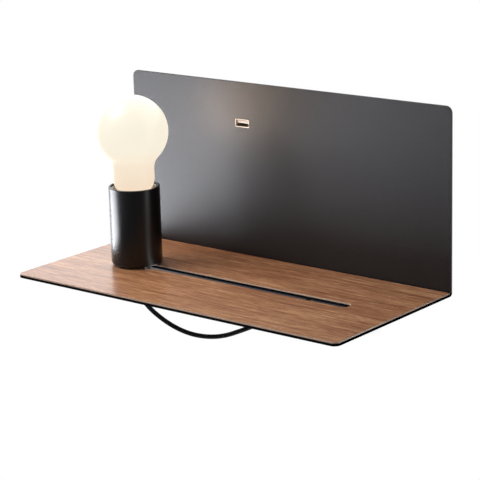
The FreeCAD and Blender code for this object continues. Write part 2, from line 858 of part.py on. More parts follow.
def cord_grip():
    """Tapered nylon grip screwed on the stem's end."""
    collar = grip_collar_diameter / 2
    end = grip_end_diameter / 2
    thread = stem_diameter / 2 + fit_clearance
    seat = stem_nut_bottom - grip_height / 2 - fit_clearance
    outline = Outline(thread, stem_nut_bottom)
    outline.line(collar - 0.5, stem_nut_bottom)
    outline.line(collar, stem_nut_bottom - 0.5)
    outline.line(collar, stem_nut_bottom - grip_collar_height)
    outline.line(end + 0.6, grip_bottom + 0.6)
    outline.line(end, grip_bottom)
    outline.line(cord_diameter * 0.4, grip_bottom)
    outline.line(cord_diameter * 0.4, seat)
    outline.line(thread, seat)
    return outline.turned(lamp_x, slot_y)


# ---------------------------------------------------------------- lampholder

def holder_dome():
    """Lower cap of the lampholder: a boss for the stem that flares into a cup."""
    outer = holder_diameter / 2
    boss = dome_boss_diameter / 2
    bore = stem_diameter / 2 + fit_clearance
    foot = cup_inside
    flare_low = foot + dome_boss_height
    flare_high = flare_low + dome_flare_height
    seat = insert_diameter / 2 + fit_clearance
    top = foot + dome_height
    outline = Outline(bore, foot)
    outline.line(boss, foot)
    outline.line(boss, flare_low)
    outline.line(outer, flare_high)
    outline.line(outer, top)
    outline.line(seat, top)
    outline.line(seat, insert_bottom)
    outline.line(seat - dome_wall, insert_bottom)
    outline.line(seat - dome_wall, flare_high)
    outline.line(boss, foot + stem_in_dome)
    outline.line(bore, foot + stem_in_dome)
    return outline.turned(lamp_x, slot_y)


def holder_insert():
    """Ceramic core that holds the contacts and carries the screw shell."""
    outer = insert_diameter / 2
    pocket = insert_pocket_diameter / 2
    outline = Outline(0, insert_bottom)
    outline.line(outer, insert_bottom)
    outline.line(outer, insert_top)
    outline.line(pocket, insert_top)
    outline.line(pocket, pocket_floor)
    outline.line(0, pocket_floor)
    return outline.turned(lamp_x, slot_y)


def holder_barrel():
    """Upper sleeve of the lampholder, with a thin raised rim around the bulb's foot."""
    outer = holder_diameter / 2
    dome_top = cup_inside + dome_height
    lower = insert_diameter / 2 + fit_clearance
    narrow = shell_pocket / 2
    rim_floor = barrel_rim - barrel_rim_depth
    rim_inner = outer - barrel_rim_wall
    outline = Outline(lower, dome_top)
    outline.line(outer, dome_top)
    outline.line(outer, barrel_rim - 0.4)
    outline.line(outer - 0.4, barrel_rim)
    outline.line(rim_inner, barrel_rim)
    outline.line(rim_inner, rim_floor)
    outline.line(narrow + 0.8, rim_floor)
    outline.line(narrow, rim_floor - 0.8)
    outline.line(narrow, insert_top)
    outline.line(lower, insert_top)
    return outline.turned(lamp_x, slot_y)


def screw_shell():
    """Brass shell that the bulb's cap screws into, with a lead-in at its mouth."""
    bore = shell_bore / 2
    outer = bore + shell_metal
    mouth = cap_levels()[2]
    outline = Outline(bore, insert_top)
    outline.line(bore, mouth)
    outline.line(outer, mouth)
    outline.line(outer, insert_top)
    return outline.turned(lamp_x, slot_y)


def centre_contact():
    """Bent brass leaf that the bulb's tip presses on."""
    half = leaf_length / 2
    rise = tip_z - tip_clearance - leaf_thickness
    leaf = Outline(-half, pocket_floor)
    leaf.line(-half * 0.3, pocket_floor)
    leaf.line(half * 0.3, rise)
    leaf.line(half * 0.8, rise)
    leaf.line(half * 0.8, rise + leaf_thickness)
    leaf.line(half * 0.3 - leaf_thickness / 2, rise + leaf_thickness)
    leaf.line(-half * 0.3 - leaf_thickness / 2, pocket_floor + leaf_thickness)
    leaf.line(-half, pocket_floor + leaf_thickness)
    strip = leaf.face().extrude(Vector(0, leaf_width, 0))
    return strip.translated(Vector(lamp_x, slot_y - leaf_width / 2, 0))


def holder_terminals():
    """Two terminal posts under the ceramic core, each with a side screw."""
    posts = []
    for side in (-1, 1):
        x = lamp_x + side * terminal_post_spacing / 2
        half = terminal_post_width / 2
        low = insert_bottom - terminal_post_height
        post = block((x - half, x + half), (slot_y - half, slot_y + half), (low, insert_bottom))
        wire = rod(2.2, (x, slot_y, low - 1), (x, slot_y, insert_bottom - 0.5))
        posts.append(post.cut(wire))
    return group(posts)


# ---------------------------------------------------------------- bulb

def bulb_profile_values():
    """Centres and angles of the three tangent arcs of the glass, for the outer surface."""
    globe = bulb_diameter / 2
    neck = bulb_neck_diameter / 2
    sweep_x = neck + bulb_neck_sweep
    rise = math.sqrt((globe + bulb_neck_sweep) ** 2 - sweep_x ** 2)
    sweep_z = globe_z - rise
    tilt = math.degrees(math.atan2(rise, sweep_x))
    neck_low = tip_z + bulb_neck_bottom
    foot_x = neck - bulb_foot_sweep
    return sweep_x, sweep_z, tilt, neck_low, foot_x


def bulb_foot_angle(inset):
    """Angle at which the foot's arc reaches the inside of the cap's skirt."""
    foot_x = bulb_profile_values()[4]
    reach = cap_diameter / 2 - cap_metal - fit_clearance - inset
    return -math.degrees(math.acos((reach - foot_x) / (bulb_foot_sweep - inset)))


def bulb_glass_shell():
    """Hollow opal bulb: globe, hollow sweep to the neck and round foot, each arc tangent to the next."""
    sweep_x, sweep_z, tilt, neck_low, foot_x = bulb_profile_values()
    globe = bulb_diameter / 2
    neck = bulb_neck_diameter / 2
    foot_end = bulb_foot_angle(0)
    outline = Outline(0, globe_z + globe)
    outline.arc((0, globe_z), globe, (90 - tilt) / 2, -tilt)
    outline.arc((sweep_x, sweep_z), bulb_neck_sweep, 180 - tilt / 2, 180)
    outline.line(neck, neck_low)
    outline.arc((foot_x, neck_low), bulb_foot_sweep, foot_end / 2, foot_end)
    outline.line(outline.at.x, outline.at.z - cap_skirt / 2)
    outline.line(outline.at.x - bulb_glass, outline.at.z)
    inner_end = bulb_foot_angle(bulb_glass)
    inner_foot = on_circle((foot_x, neck_low), bulb_foot_sweep - bulb_glass, inner_end)
    outline.line(inner_foot.x, inner_foot.z)
    outline.arc((foot_x, neck_low), bulb_foot_sweep - bulb_glass, inner_end / 2, 0)
    outline.line(neck - bulb_glass, sweep_z)
    outline.arc((sweep_x, sweep_z), bulb_neck_sweep + bulb_glass, 180 - tilt / 2, 180 - tilt)
    outline.arc((0, globe_z), globe - bulb_glass, (90 - tilt) / 2, 90)
    return outline.turned(lamp_x, slot_y)


def cap_levels():
    """Heights of the cap's cone, thread and skirt."""
    cone_low = tip_z + tip_height + cap_insulator_height
    thread_low = cone_low + cap_cone_height
    skirt_top = on_circle((0, tip_z + bulb_neck_bottom), bulb_foot_sweep, bulb_foot_angle(0)).z
    return cone_low, thread_low, thread_low + cap_thread_height, skirt_top


def bulb_cap():
    """Screw cap: cone, threaded part at its outside diameter, and the skirt that holds the glass."""
    cone_low, thread_low, thread_high, skirt_top = cap_levels()
    outer = cap_diameter / 2
    neck = cap_neck_diameter / 2
    cone = cap_cone_diameter / 2
    step = outer - neck
    outline = Outline(cone, cone_low)
    outline.line(outer, thread_low)
    outline.line(outer, thread_high)
    outline.line(neck, thread_high + step)
    outline.line(outer, thread_high + 2 * step)
    outline.line(outer, skirt_top)
    outline.line(outer - cap_metal, skirt_top)
    outline.line(outer - cap_metal, thread_high + 2 * step)
    outline.line(neck - cap_metal, thread_high + step)
    outline.line(outer - cap_metal, thread_high)
    outline.line(outer - cap_metal, thread_low)
    outline.line(cone - cap_metal, cone_low + cap_metal)
    outline.line(cone - cap_metal, cone_low)
    return outline.turned(lamp_x, slot_y)


def bulb_insulator():
    """Black glass insulator between the cap and the tip."""
    cone_low = cap_levels()[0]
    outline = Outline(0, cone_low - cap_insulator_height)
    outline.line(tip_diameter / 2 + 0.5, cone_low - cap_insulator_height)
    outline.line(cap_cone_diameter / 2, cone_low)
    outline.line(0, cone_low)
    return outline.turned(lamp_x, slot_y)


def bulb_tip():
    """Solder contact at the bulb's end."""
    outline = Outline(0, -tip_height).line(tip_diameter / 2, -tip_height).dome(0)
    tip = outline.turned(0, 0)
    tip.rotate(Vector(0, 0, 0), Vector(1, 0, 0), 180)
    return tip.translated(Vector(lamp_x, slot_y, tip_z))


def bulb_pillar():
    """Glass pillar sealed in the bulb's foot, flared where it joins the cap."""
    low = cap_levels()[3] - cap_skirt
    flare = cap_diameter / 2 - cap_metal - pillar_gap
    radius = led_pillar_diameter / 2
    outline = Outline(0, low)
    outline.line(flare, low)
    outline.line(flare, low + 1.2)
    outline.line(radius, low + 9)
    outline.line(radius, low + led_pillar_height)
    outline.line(0, low + led_pillar_height)
    return outline.turned(lamp_x, slot_y)


def led_rods():
    """Light-emitting rods that lean around the pillar, on a ring of wire at their feet."""
    top = cap_levels()[3] - cap_skirt + led_pillar_height
    bottom = top - led_rod_length
    rods = []
    for step in range(led_rod_count):
        angle = 2 * math.pi * (step + 0.5) / led_rod_count
        outward = Vector(math.cos(angle), math.sin(angle), 0)
        low = Vector(lamp_x, slot_y, bottom) + outward * led_ring_radius
        high = Vector(lamp_x, slot_y, top) + outward * led_ring_lean
        foot = Vector(lamp_x, slot_y, bottom) + outward * (led_pillar_diameter / 2 + fit_clearance)
        rods.append(joined([rod(led_rod_diameter, low, high), rod(led_rod_diameter / 2, foot, low)]))
    return group(rods)


# ---------------------------------------------------------------- free cord

def cord_path(points):
    """Straight runs joined by tangent arcs, each as large as its two runs allow."""
    corners = [Vector(*point) for point in points]
    edges = []
    at = corners[0]
    length = 0.0
    radii = []
    for before, corner, after in zip(corners, corners[1:], corners[2:]):
        back = before - corner
        ahead = after - corner
        turn = math.pi - back.getAngle(ahead)
        reach = arc_share * min(back.Length, ahead.Length)
        radius = reach / math.tan(turn / 2)
        back.normalize()
        ahead.normalize()
        start = corner + back * reach
        finish = corner + ahead * reach
        inward = back + ahead
        inward.normalize()
        sunk = math.hypot(radius, reach) - radius
        edges.append(Part.LineSegment(at, start).toShape())
        edges.append(Part.Arc(start, corner + inward * sunk, finish).toShape())
        length += (start - at).Length + radius * turn
        radii.append(round(radius, 1))
        at = finish
    edges.append(Part.LineSegment(at, corners[-1]).toShape())
    length += (corners[-1] - at).Length
    print("cord bend radii", radii, "length", round(length, 1))
    return Part.Wire(edges), length


def lamp_cord():
    """Cord that hangs in a loop from the lamp's grip and rises to the gland."""
    path, length = cord_path(cord_points)
    start = Vector(*cord_points[0])
    along = Vector(*cord_points[1]) - start
    ring = Part.Wire(Part.makeCircle(cord_diameter / 2, start, along))
    tube = path.makePipeShell([ring], True, False)
    section = math.pi * cord_diameter ** 2 / 4
    print("cord volume over section times length", round(tube.Volume / (section * length), 4))
    return tube


# ---------------------------------------------------------------- all nodes

nodes = {
    "steel_sheet": steel_sheet,
    "wood_veneer": veneer,
    "rear_housing": housing,
    "wall_bracket": wall_bracket,
    "fixing_screws": fixing_screws,
    "panel_studs": panel_studs,
    "stud_nuts": stud_nuts,
    "usb_shell": usb_shell,
    "usb_tongue": usb_tongue,
    "usb_contacts": usb_contacts,
    "usb_board": usb_board,
    "board_standoffs": board_standoffs,
    "board_screws": board_screws,
    "board_parts": board_parts,
    "usb_driver": usb_driver,
    "terminal_block": terminal_block,
    "terminal_screws": terminal_screws,
    "earth_screw": earth_screw,
    "cord_gland": cord_gland,
    "gland_nut": gland_nut,
    "lamp_cord": lamp_cord,
    "lamp_cup": lamp_cup,
    "base_disc": base_disc,
    "slide_bush": slide_bush,
    "hollow_stem": hollow_stem,
    "spring_washer": spring_washer,
    "stem_nut": stem_nut,
    "cord_grip": cord_grip,
    "holder_dome": holder_dome,
    "holder_insert": holder_insert,
    "holder_barrel": holder_barrel,
    "screw_shell": screw_shell,
    "centre_contact": centre_contact,
    "holder_terminals": holder_terminals,
    "bulb_glass": bulb_glass_shell,
    "bulb_cap": bulb_cap,
    "bulb_insulator": bulb_insulator,
    "bulb_tip": bulb_tip,
    "bulb_pillar": bulb_pillar,
    "led_rods": led_rods,
}

os.makedirs("parts", exist_ok=True)
for name, make in nodes.items():
    shape = make()
    shape.exportStep("parts/" + name + ".step")
    print(name, "solids", len(shape.Solids), "valid", shape.isValid(), "volume", round(shape.Volume, 1))
print("lamp at x", lamp_x, "slides between", -lamp_reach, lamp_reach)
print("bulb top above shelf", round(bulb_top - shelf_top, 1))
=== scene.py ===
import math

import bmesh
import bpy
from mathutils import Matrix, Vector


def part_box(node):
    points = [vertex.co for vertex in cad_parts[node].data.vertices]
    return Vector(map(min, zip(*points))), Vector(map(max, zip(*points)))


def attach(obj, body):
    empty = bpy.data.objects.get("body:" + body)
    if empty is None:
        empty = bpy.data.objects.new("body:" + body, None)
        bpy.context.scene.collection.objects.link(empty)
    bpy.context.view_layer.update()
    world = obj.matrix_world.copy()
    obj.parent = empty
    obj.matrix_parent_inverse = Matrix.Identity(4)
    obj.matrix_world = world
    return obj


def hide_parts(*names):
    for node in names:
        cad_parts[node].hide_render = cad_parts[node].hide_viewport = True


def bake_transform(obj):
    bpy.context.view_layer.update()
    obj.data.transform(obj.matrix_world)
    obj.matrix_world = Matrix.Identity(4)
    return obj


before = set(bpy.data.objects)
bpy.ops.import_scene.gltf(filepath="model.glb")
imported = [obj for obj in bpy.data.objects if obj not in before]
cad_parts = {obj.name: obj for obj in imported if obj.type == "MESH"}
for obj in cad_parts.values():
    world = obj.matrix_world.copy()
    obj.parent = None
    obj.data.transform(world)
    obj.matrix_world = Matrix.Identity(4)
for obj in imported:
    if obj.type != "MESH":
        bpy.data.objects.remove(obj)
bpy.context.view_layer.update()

# ================================================================ studio
# The lamp hangs in front of a white background. The camera stands to the right of it and a little
# above, with a long lens. A large soft lamp low on the left gives the panel its grey sheen, and one
# above lights the shelf.

camera_data = bpy.data.cameras.new("camera")
camera_data.lens = 138.4
camera_data.sensor_width = 36
camera_data.clip_end = 20
camera = bpy.data.objects.new("camera", camera_data)
bpy.context.collection.objects.link(camera)
bpy.context.scene.camera = camera

camera_yaw = math.radians(39.42)
camera_pitch = math.radians(15.04)
camera_roll = math.radians(-1.62)
camera_place = (0.90846, -1.19266, 0.34259)
ahead = Vector((
    -math.sin(camera_yaw) * math.cos(camera_pitch),
    math.cos(camera_yaw) * math.cos(camera_pitch),
    -math.sin(camera_pitch),
))
level_right = Vector((math.cos(camera_yaw), math.sin(camera_yaw), 0))
level_up = level_right.cross(ahead)
camera_right = math.cos(camera_roll) * level_right + math.sin(camera_roll) * level_up
camera_up = math.cos(camera_roll) * level_up - math.sin(camera_roll) * level_right
turn = Matrix((camera_right, camera_up, -ahead)).transposed()
camera.matrix_world = Matrix.Translation(camera_place) @ turn.to_4x4()

bpy.context.scene.view_settings.view_transform = "Standard"


class Shade:
    """A socket of a material's node; arithmetic on it adds Math nodes."""

    def __init__(self, finish, socket):
        self.finish = finish
        self.socket = socket

    def _math(self, operation, *values):
        sockets = dict(enumerate(values))
        return self.finish.node("ShaderNodeMath", {"operation": operation}, sockets)

    def __add__(self, other):
        return self._math("ADD", self, other)

    def __radd__(self, other):
        return self._math("ADD", other, self)

    def __sub__(self, other):
        return self._math("SUBTRACT", self, other)

    def __rsub__(self, other):
        return self._math("SUBTRACT", other, self)

    def __mul__(self, other):
        return self._math("MULTIPLY", self, other)

    def __truediv__(self, other):
        return self._math("DIVIDE", self, other)

    def __pow__(self, other):
        return self._math("POWER", self, other)

    def clamped(self):
        return self.finish.node("ShaderNodeClamp", {}, {"Value": self})

    def size(self):
        return self._math("ABSOLUTE", self)

    def wave(self):
        return self._math("SINE", self)


class Finish:
    """A material, with one method that adds any node to it."""

    def __init__(self, name):
        self.material = bpy.data.materials.new(name)
        self.material.use_nodes = True
        self.tree = self.material.node_tree
        self.surface = self.tree.nodes["Principled BSDF"]
        self.place = self.node("ShaderNodeTexCoord", {}, {}, "Object")

    def node(self, kind, settings, sockets, output=0):
        made = self.tree.nodes.new(kind)
        for key, value in settings.items():
            if key == "stops":
                ramp = made.color_ramp.elements
                while len(ramp) < len(value):
                    ramp.new(1.0)
                for element, (position, colour) in zip(ramp, value):
                    element.position = position
                    element.color = (*colour, 1.0)
            else:
                setattr(made, key, value)
        for key, value in sockets.items():
            if isinstance(value, Shade):
                self.tree.links.new(value.socket, made.inputs[key])
            else:
                made.inputs[key].default_value = value
        return Shade(self, made.outputs[output])

    def noise(self, scale, detail=2.0, rough=0.5, stretch=(1, 1, 1), offset=(0, 0, 0), warp=0.0):
        """Noise between 0 and 1, of `scale` features a metre."""
        placed = self.node("ShaderNodeMapping", {}, {
            "Vector": self.place, "Scale": stretch, "Location": offset})
        return self.node("ShaderNodeTexNoise", {}, {
            "Vector": placed, "Scale": scale, "Detail": detail, "Roughness": rough, "Distortion": warp})

    def grains(self, scale, output="Distance"):
        """Distance to the nearest of many scattered points, or the colour of its cell."""
        return self.node("ShaderNodeTexVoronoi", {}, {"Vector": self.place, "Scale": scale}, output)

    def ramp(self, factor, *stops):
        return self.node("ShaderNodeValToRGB", {"stops": stops}, {"Fac": factor})

    def mix(self, factor, first, second, blend="MIX"):
        colours = [(*c, 1.0) if isinstance(c, tuple) else c for c in (first, second)]
        settings = {"data_type": "RGBA", "blend_type": blend}
        return self.node("ShaderNodeMix", settings, {0: factor, 6: colours[0], 7: colours[1]}, 2)

    def axis(self, name):
        return self.node("ShaderNodeSeparateXYZ", {}, {0: self.place}, name)

    def off_axis(self, x, y):
        """Distance from an upright axis."""
        return ((self.axis("X") - x) ** 2 + (self.axis("Y") - y) ** 2) ** 0.5

    def bump(self, height, depth, strength=1.0):
        sockets = {"Height": height, "Distance": depth, "Strength": strength}
        return self.node("ShaderNodeBump", {}, sockets, "Normal")

    def shine(self, **sockets):
        """Sets the surface's sockets; base_color stands for Base Color."""
        for key, value in sockets.items():
            socket = self.surface.inputs[key.replace("_", " ").title().replace("Ior", "IOR")]
            if isinstance(value, Shade):
                self.tree.links.new(value.socket, socket)
            elif isinstance(value, tuple):
                socket.default_value = (*value, 1.0)
            else:
                socket.default_value = value
        return self.material


# The world is white to the camera and pale in reflections.
world = bpy.data.worlds.new("studio")
bpy.context.scene.world = world
world.use_nodes = True
air = world.node_tree
air.nodes.clear()
seen = air.nodes.new("ShaderNodeBackground")
seen.inputs["Color"].default_value = (1, 1, 1, 1)
seen.inputs["Strength"].default_value = 1.0
fill = air.nodes.new("ShaderNodeBackground")
fill.inputs["Color"].default_value = (0.88, 0.94, 1.0, 1)
fill.inputs["Strength"].default_value = 0.13
rays = air.nodes.new("ShaderNodeLightPath")
pick = air.nodes.new("ShaderNodeMixShader")
result = air.nodes.new("ShaderNodeOutputWorld")
air.links.new(rays.outputs["Is Camera Ray"], pick.inputs["Fac"])
air.links.new(fill.outputs[0], pick.inputs[1])
air.links.new(seen.outputs[0], pick.inputs[2])
air.links.new(pick.outputs[0], result.inputs["Surface"])


def backdrop(name, low, high, mirrored_glow, shaded_patch=None):
    """A white, one-sided stage plane. To the camera it is plain white, but for a soft grey patch, given
    by its middle and its reach on X and Z, in the shelf's shadow. Gloss sees `mirrored_glow`, and
    much less of it behind the panel."""
    across = "Z" if low[1] == high[1] else "Y"
    third = (low[0], low[1], high[2]) if across == "Z" else (low[0], high[1], low[2])
    second = (high[0], low[1], low[2])
    mesh = bpy.data.meshes.new(name)
    mesh.from_pydata([low, second, high, third], [], [(0, 1, 2, 3)])
    plane = bpy.data.objects.new(name, mesh)
    bpy.context.collection.objects.link(plane)
    paint = Finish(name)
    nodes, links = paint.tree.nodes, paint.tree.links
    paint.shine(base_color=(0.86, 0.86, 0.86), roughness=1.0, specular_ior_level=0.0)
    glow = paint.node("ShaderNodeEmission", {}, {"Color": (1, 1, 1, 1), "Strength": 1.0})
    lit = Shade(paint, paint.surface.outputs[0])
    band, shadow, pale = 1.0, lit, (0.96, 0.98, 1.0, 1.0)
    if shaded_patch:
        (middle_x, reach_x), (middle_z, reach_z) = shaded_patch
        grey = paint.ramp((paint.axis("X") - middle_x) / (2 * reach_x) + 0.5,
                          (0.0, (0.17, 0.19, 0.22)), (0.35, (0.075, 0.08, 0.09)), (1.0, (0.04, 0.042, 0.05)))
        shadow = paint.node("ShaderNodeEmission", {}, {"Color": grey, "Strength": 1.0})
        fade_x, fade_z = 0.03, 0.02
        beside = (((paint.axis("X") - middle_x).size() - reach_x) / fade_x).clamped()
        above = (((paint.axis("Z") - middle_z).size() - reach_z) / fade_z).clamped()
        band = beside + above - beside * above
        panel_reach_x, panel_reach_z, panel_fade = 0.155, 0.068, 0.01
        behind_x = ((panel_reach_x - paint.axis("X").size()) / panel_fade).clamped()
        behind_z = ((panel_reach_z - paint.axis("Z").size()) / panel_fade).clamped()
        pale = paint.mix(behind_x * behind_z, pale[:3], (0.30, 0.30, 0.30))
    mirror_glow = paint.node("ShaderNodeEmission", {}, {"Color": pale, "Strength": mirrored_glow})
    direct = paint.node("ShaderNodeLightPath", {}, {}, "Is Camera Ray")
    mirrored = paint.node("ShaderNodeLightPath", {}, {}, "Is Glossy Ray")
    bright = paint.node("ShaderNodeAddShader", {}, {0: lit, 1: mirror_glow})
    unseen = paint.node("ShaderNodeMixShader", {}, {0: mirrored, 1: lit, 2: bright})
    shown = paint.node("ShaderNodeMixShader", {}, {0: band, 1: shadow, 2: glow})
    front = paint.node("ShaderNodeMixShader", {}, {0: direct, 1: unseen, 2: shown})
    rear = paint.node("ShaderNodeNewGeometry", {}, {}, "Backfacing")
    clear = paint.node("ShaderNodeBsdfTransparent", {}, {})
    whole = paint.node("ShaderNodeMixShader", {}, {0: rear, 1: front, 2: clear})
    links.new(whole.socket, nodes["Material Output"].inputs["Surface"])
    mesh.materials.append(paint.material)
    return plane


stage_half, stage_front = 3.0, -4.0
wall_face, wall_top, floor_height = 0.0015, 2.4, -1.1
seen_through_slot = ((-0.077, 0.124), (-0.109, 0.006))
wall = backdrop("wall", (-stage_half, wall_face, floor_height), (stage_half, wall_face, wall_top), 1.25,
                seen_through_slot)
floor = backdrop("floor", (-stage_half, stage_front, floor_height), (stage_half, wall_face, floor_height),
                 0.0)


def soft_lamp(name, place, aim, width, height, power, colour=(1, 1, 1)):
    """Rectangular soft lamp that faces a point."""
    data = bpy.data.lights.new(name, "AREA")
    data.shape = "RECTANGLE"
    data.size = width
    data.size_y = height
    data.energy = power
    data.color = colour
    lamp = bpy.data.objects.new(name, data)
    lamp.location = place
    lamp.rotation_euler = (Vector(aim) - Vector(place)).to_track_quat("-Z", "Y").to_euler()
    bpy.context.collection.objects.link(lamp)
    return lamp


def kept_off(lamp, *pieces):
    """Stops a lamp from lighting these pieces."""
    if lamp.light_linking.receiver_collection is None:
        lamp.light_linking.receiver_collection = bpy.data.collections.new("not_lit_by_" + lamp.name)
    unlit = lamp.light_linking.receiver_collection
    for piece in pieces:
        unlit.objects.link(piece)
        unlit.collection_objects[-1].light_linking.link_state = "EXCLUDE"


left_softbox = soft_lamp("left_softbox", (-0.483, -0.378, -0.613), (-0.001, -0.272, 0.0), 0.775, 1.65, 51,
                         (0.96, 0.98, 1.04))
top_softbox = soft_lamp("top_softbox", (-0.75, -0.60, 1.2), (-0.1, -0.08, -0.03), 0.9, 0.9, 21)
kept_off(left_softbox, wall)
kept_off(top_softbox, floor)

# ================================================================ steel sheet
# Back panel and shelf are one sheet of 2 mm steel, cut, bent once and powder coated black. The coat
# rounds the cut edges and has a fine, even grain. From the bend down the steel is painted a flat, darker
# black without gloss, as painted shade on the shelf's cut edges and underside.

shelf_half = 0.1625
shelf_front = -0.18
panel_front = -0.029
panel_top = 0.0735
shelf_top = -0.0735
veneer_thickness = 0.0012
steel_top = shelf_top - veneer_thickness
sheet_thickness = 0.002
bend_radius = 0.001
corner_radius = 0.0055
edge_round = 0.0003
slot_middle = -0.1015
slot_half = 0.1175
slot_radius = 0.0052
port_x = -0.042
port_height = 0.0389
port_half_x, port_half_z, port_round = 0.00745, 0.0034, 0.0011


def powder_coat(name, colour, rough, grain, mottle=0.3, painted_shade_below=None):
    """Baked powder coat: fine pebbles `grain` deep, with faint flow, and gloss that varies by `mottle`.
    Below a height it can be painted a flat, darker black without gloss, as painted shade."""
    coat = Finish(name)
    pebbles = coat.grains(1500)
    flow = coat.noise(260, 3)
    speckle = coat.noise(750, 2)
    cloud = coat.noise(14, 2)
    lighter = tuple(1.5 * c for c in colour)
    shade = coat.mix(cloud * 0.6 + flow * 0.3, colour, lighter)
    relief = coat.bump(pebbles + flow * 0.8, grain)
    # Below that height the coat becomes a flat, darker black without gloss: painted shade on the shelf's cut
    # edges and underside.
    if painted_shade_below is not None:
        painted_shade_coat = coat.node("ShaderNodeBsdfPrincipled", {}, {
            "Base Color": (0.003, 0.003, 0.0035, 1.0), "Roughness": 0.8, "Specular IOR Level": 0.0,
            "Normal": relief})
        fade = 0.001
        low = ((painted_shade_below - coat.axis("Z")) / fade).clamped()
        full = Shade(coat, coat.surface.outputs[0])
        both = coat.node("ShaderNodeMixShader", {}, {0: low, 1: full, 2: painted_shade_coat})
        coat.tree.links.new(both.socket, coat.tree.nodes["Material Output"].inputs["Surface"])
    gloss = rough + cloud * 0.06 + (speckle - 0.5) * mottle
    return coat.shine(base_color=shade, roughness=gloss, normal=relief)


def corner_arc(u, v, radius, start, steps=12):
    """Quarter circle of a flat outline, anticlockwise from the angle `start`."""
    points = []
    for step in range(steps + 1):
        angle = math.radians(start + 90 * step / steps)
        points.append((u + radius * math.cos(angle), v + radius * math.sin(angle)))
    return points


def slot_line(left, right, middle, radius):
    """Clockwise line round a slot with round ends."""
    points = []
    for centre, start in ((right - radius, -90), (left + radius, 90)):
        points += corner_arc(centre, middle, radius, start)
        points += corner_arc(centre, middle, radius, start + 90)[1:]
    return points[::-1]


def inset(line, amount):
    """Moves a closed line to its own left, into the sheet."""
    moved = []
    for before, here, after in zip(line[-1:] + line[:-1], line, line[1:] + line[:1]):
        sides = []
        for start, end in ((before, here), (here, after)):
            run = Vector(end) - Vector(start)
            sides.append(Vector((-run.y, run.x)).normalized())
        left = (sides[0] + sides[1]).normalized()
        moved.append(tuple(Vector(here) + left * amount / max(0.3, left.dot(sides[0]))))
    return moved


def cut_sheet(name, outline, holes, thickness, edge, place, folds=()):
    """A cut sheet with eased edges. place(u, v, depth) bends the flat pattern into shape, and
    `folds` are the heights v at which its flat faces end."""
    work = bmesh.new()
    rows = [(2.5 * edge, 0.0), (edge, 0.0)]
    for step in range(1, 4):
        angle = math.radians(30 * step)
        rows.append((edge * (1 - math.sin(angle)), edge * (1 - math.cos(angle))))
    rows += [(off, thickness - depth) for off, depth in reversed(rows)]
    for line in [outline] + holes:
        rings = []
        for off, depth in rows:
            rings.append([work.verts.new(place(u, v, depth)) for u, v in inset(line, off)])
        for lower, upper in zip(rings, rings[1:]):
            for step in range(len(line)):
                following = (step + 1) % len(line)
                work.faces.new((lower[step], lower[following], upper[following], upper[step]))
    inner = inset(outline, 2.5 * edge)
    heights = [v for u, v in inner]
    bands = list(zip((min(heights),) + folds, folds + (max(heights),)))
    for depth in (0.0, thickness):
        for low, high in bands:
            flat = [(u, v) for u, v in inner if low - 1e-7 < v < high + 1e-7]
            loops = [flat] + [inset(hole, 2.5 * edge) for hole in holes if low < hole[0][1] < high]
            edges = []
            for loop in loops:
                ring = [work.verts.new(place(u, v, depth)) for u, v in loop]
                for first, second in zip(ring, ring[1:] + ring[:1]):
                    edges.append(work.edges.new((first, second)))
            bmesh.ops.triangle_fill(work, use_beauty=True, use_dissolve=False, edges=edges)
    bmesh.ops.remove_doubles(work, verts=work.verts, dist=1e-6)
    bmesh.ops.recalc_face_normals(work, faces=work.faces)
    mesh = bpy.data.meshes.new(name)
    work.to_mesh(mesh)
    work.free()
    mesh.shade_smooth()
    piece = bpy.data.objects.new(name, mesh)
    bpy.context.collection.objects.link(piece)
    return piece


def painted(piece, material):
    piece.data.materials.clear()
    piece.data.materials.append(material)
    return piece


def fixed_to(body, piece, *nodes):
    """Lets a piece ride on a body in place of CAD nodes."""
    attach(piece, body)
    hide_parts(*nodes)
    return piece


bend_y = panel_front - bend_radius
bend_z = steel_top + bend_radius
bend_length = bend_radius * math.pi / 2


def bent(u, v, depth):
    """Place of a point of the flat pattern; v runs from the bend's start, up the panel."""
    if v <= 0:
        return (u, bend_y + v, steel_top - depth)
    if v >= bend_length:
        return (u, panel_front + depth, bend_z + v - bend_length)
    turned_by = v / bend_radius
    reach = bend_radius + depth
    return (u, bend_y + reach * math.sin(turned_by), bend_z - reach * math.cos(turned_by))


fold_margin = 0.0008
fold_rows = [-fold_margin] + [bend_length * step / 6 for step in range(7)] + [bend_length + fold_margin]
sheet_low = shelf_front - bend_y
sheet_high = bend_length + panel_top - bend_z
corner_u = shelf_half - corner_radius
sheet_line = corner_arc(-corner_u, sheet_low + corner_radius, corner_radius, 180)
sheet_line += corner_arc(corner_u, sheet_low + corner_radius, corner_radius, 270)
sheet_line += [(shelf_half, v) for v in fold_rows]
sheet_line += corner_arc(corner_u, sheet_high - corner_radius, corner_radius, 0)
sheet_line += corner_arc(-corner_u, sheet_high - corner_radius, corner_radius, 90)
sheet_line += [(-shelf_half, v) for v in reversed(fold_rows)]
port_v = bend_length + port_height - bend_z
port_line = []
for side_u, side_v, start in ((-1, -1, 180), (1, -1, 270), (1, 1, 0), (-1, 1, 90)):
    port_line += corner_arc(port_x + side_u * (port_half_x - port_round),
                            port_v + side_v * (port_half_z - port_round), port_round, start, 5)
slot_hole = slot_line(-slot_half, slot_half, slot_middle - bend_y, slot_radius)
# Below the shelf's top the sheet gets painted shade: a flat, darker black without gloss.
panel_coat = powder_coat("panel_powder_coat", (0.010, 0.010, 0.0115), 0.42, 0.00006, painted_shade_below=shelf_top)
sheet = cut_sheet("bent_sheet", sheet_line, [slot_hole, port_line[::-1]], sheet_thickness, edge_round, bent,
                  tuple(fold_rows))
fixed_to("shelf_body", painted(sheet, panel_coat), "steel_sheet")
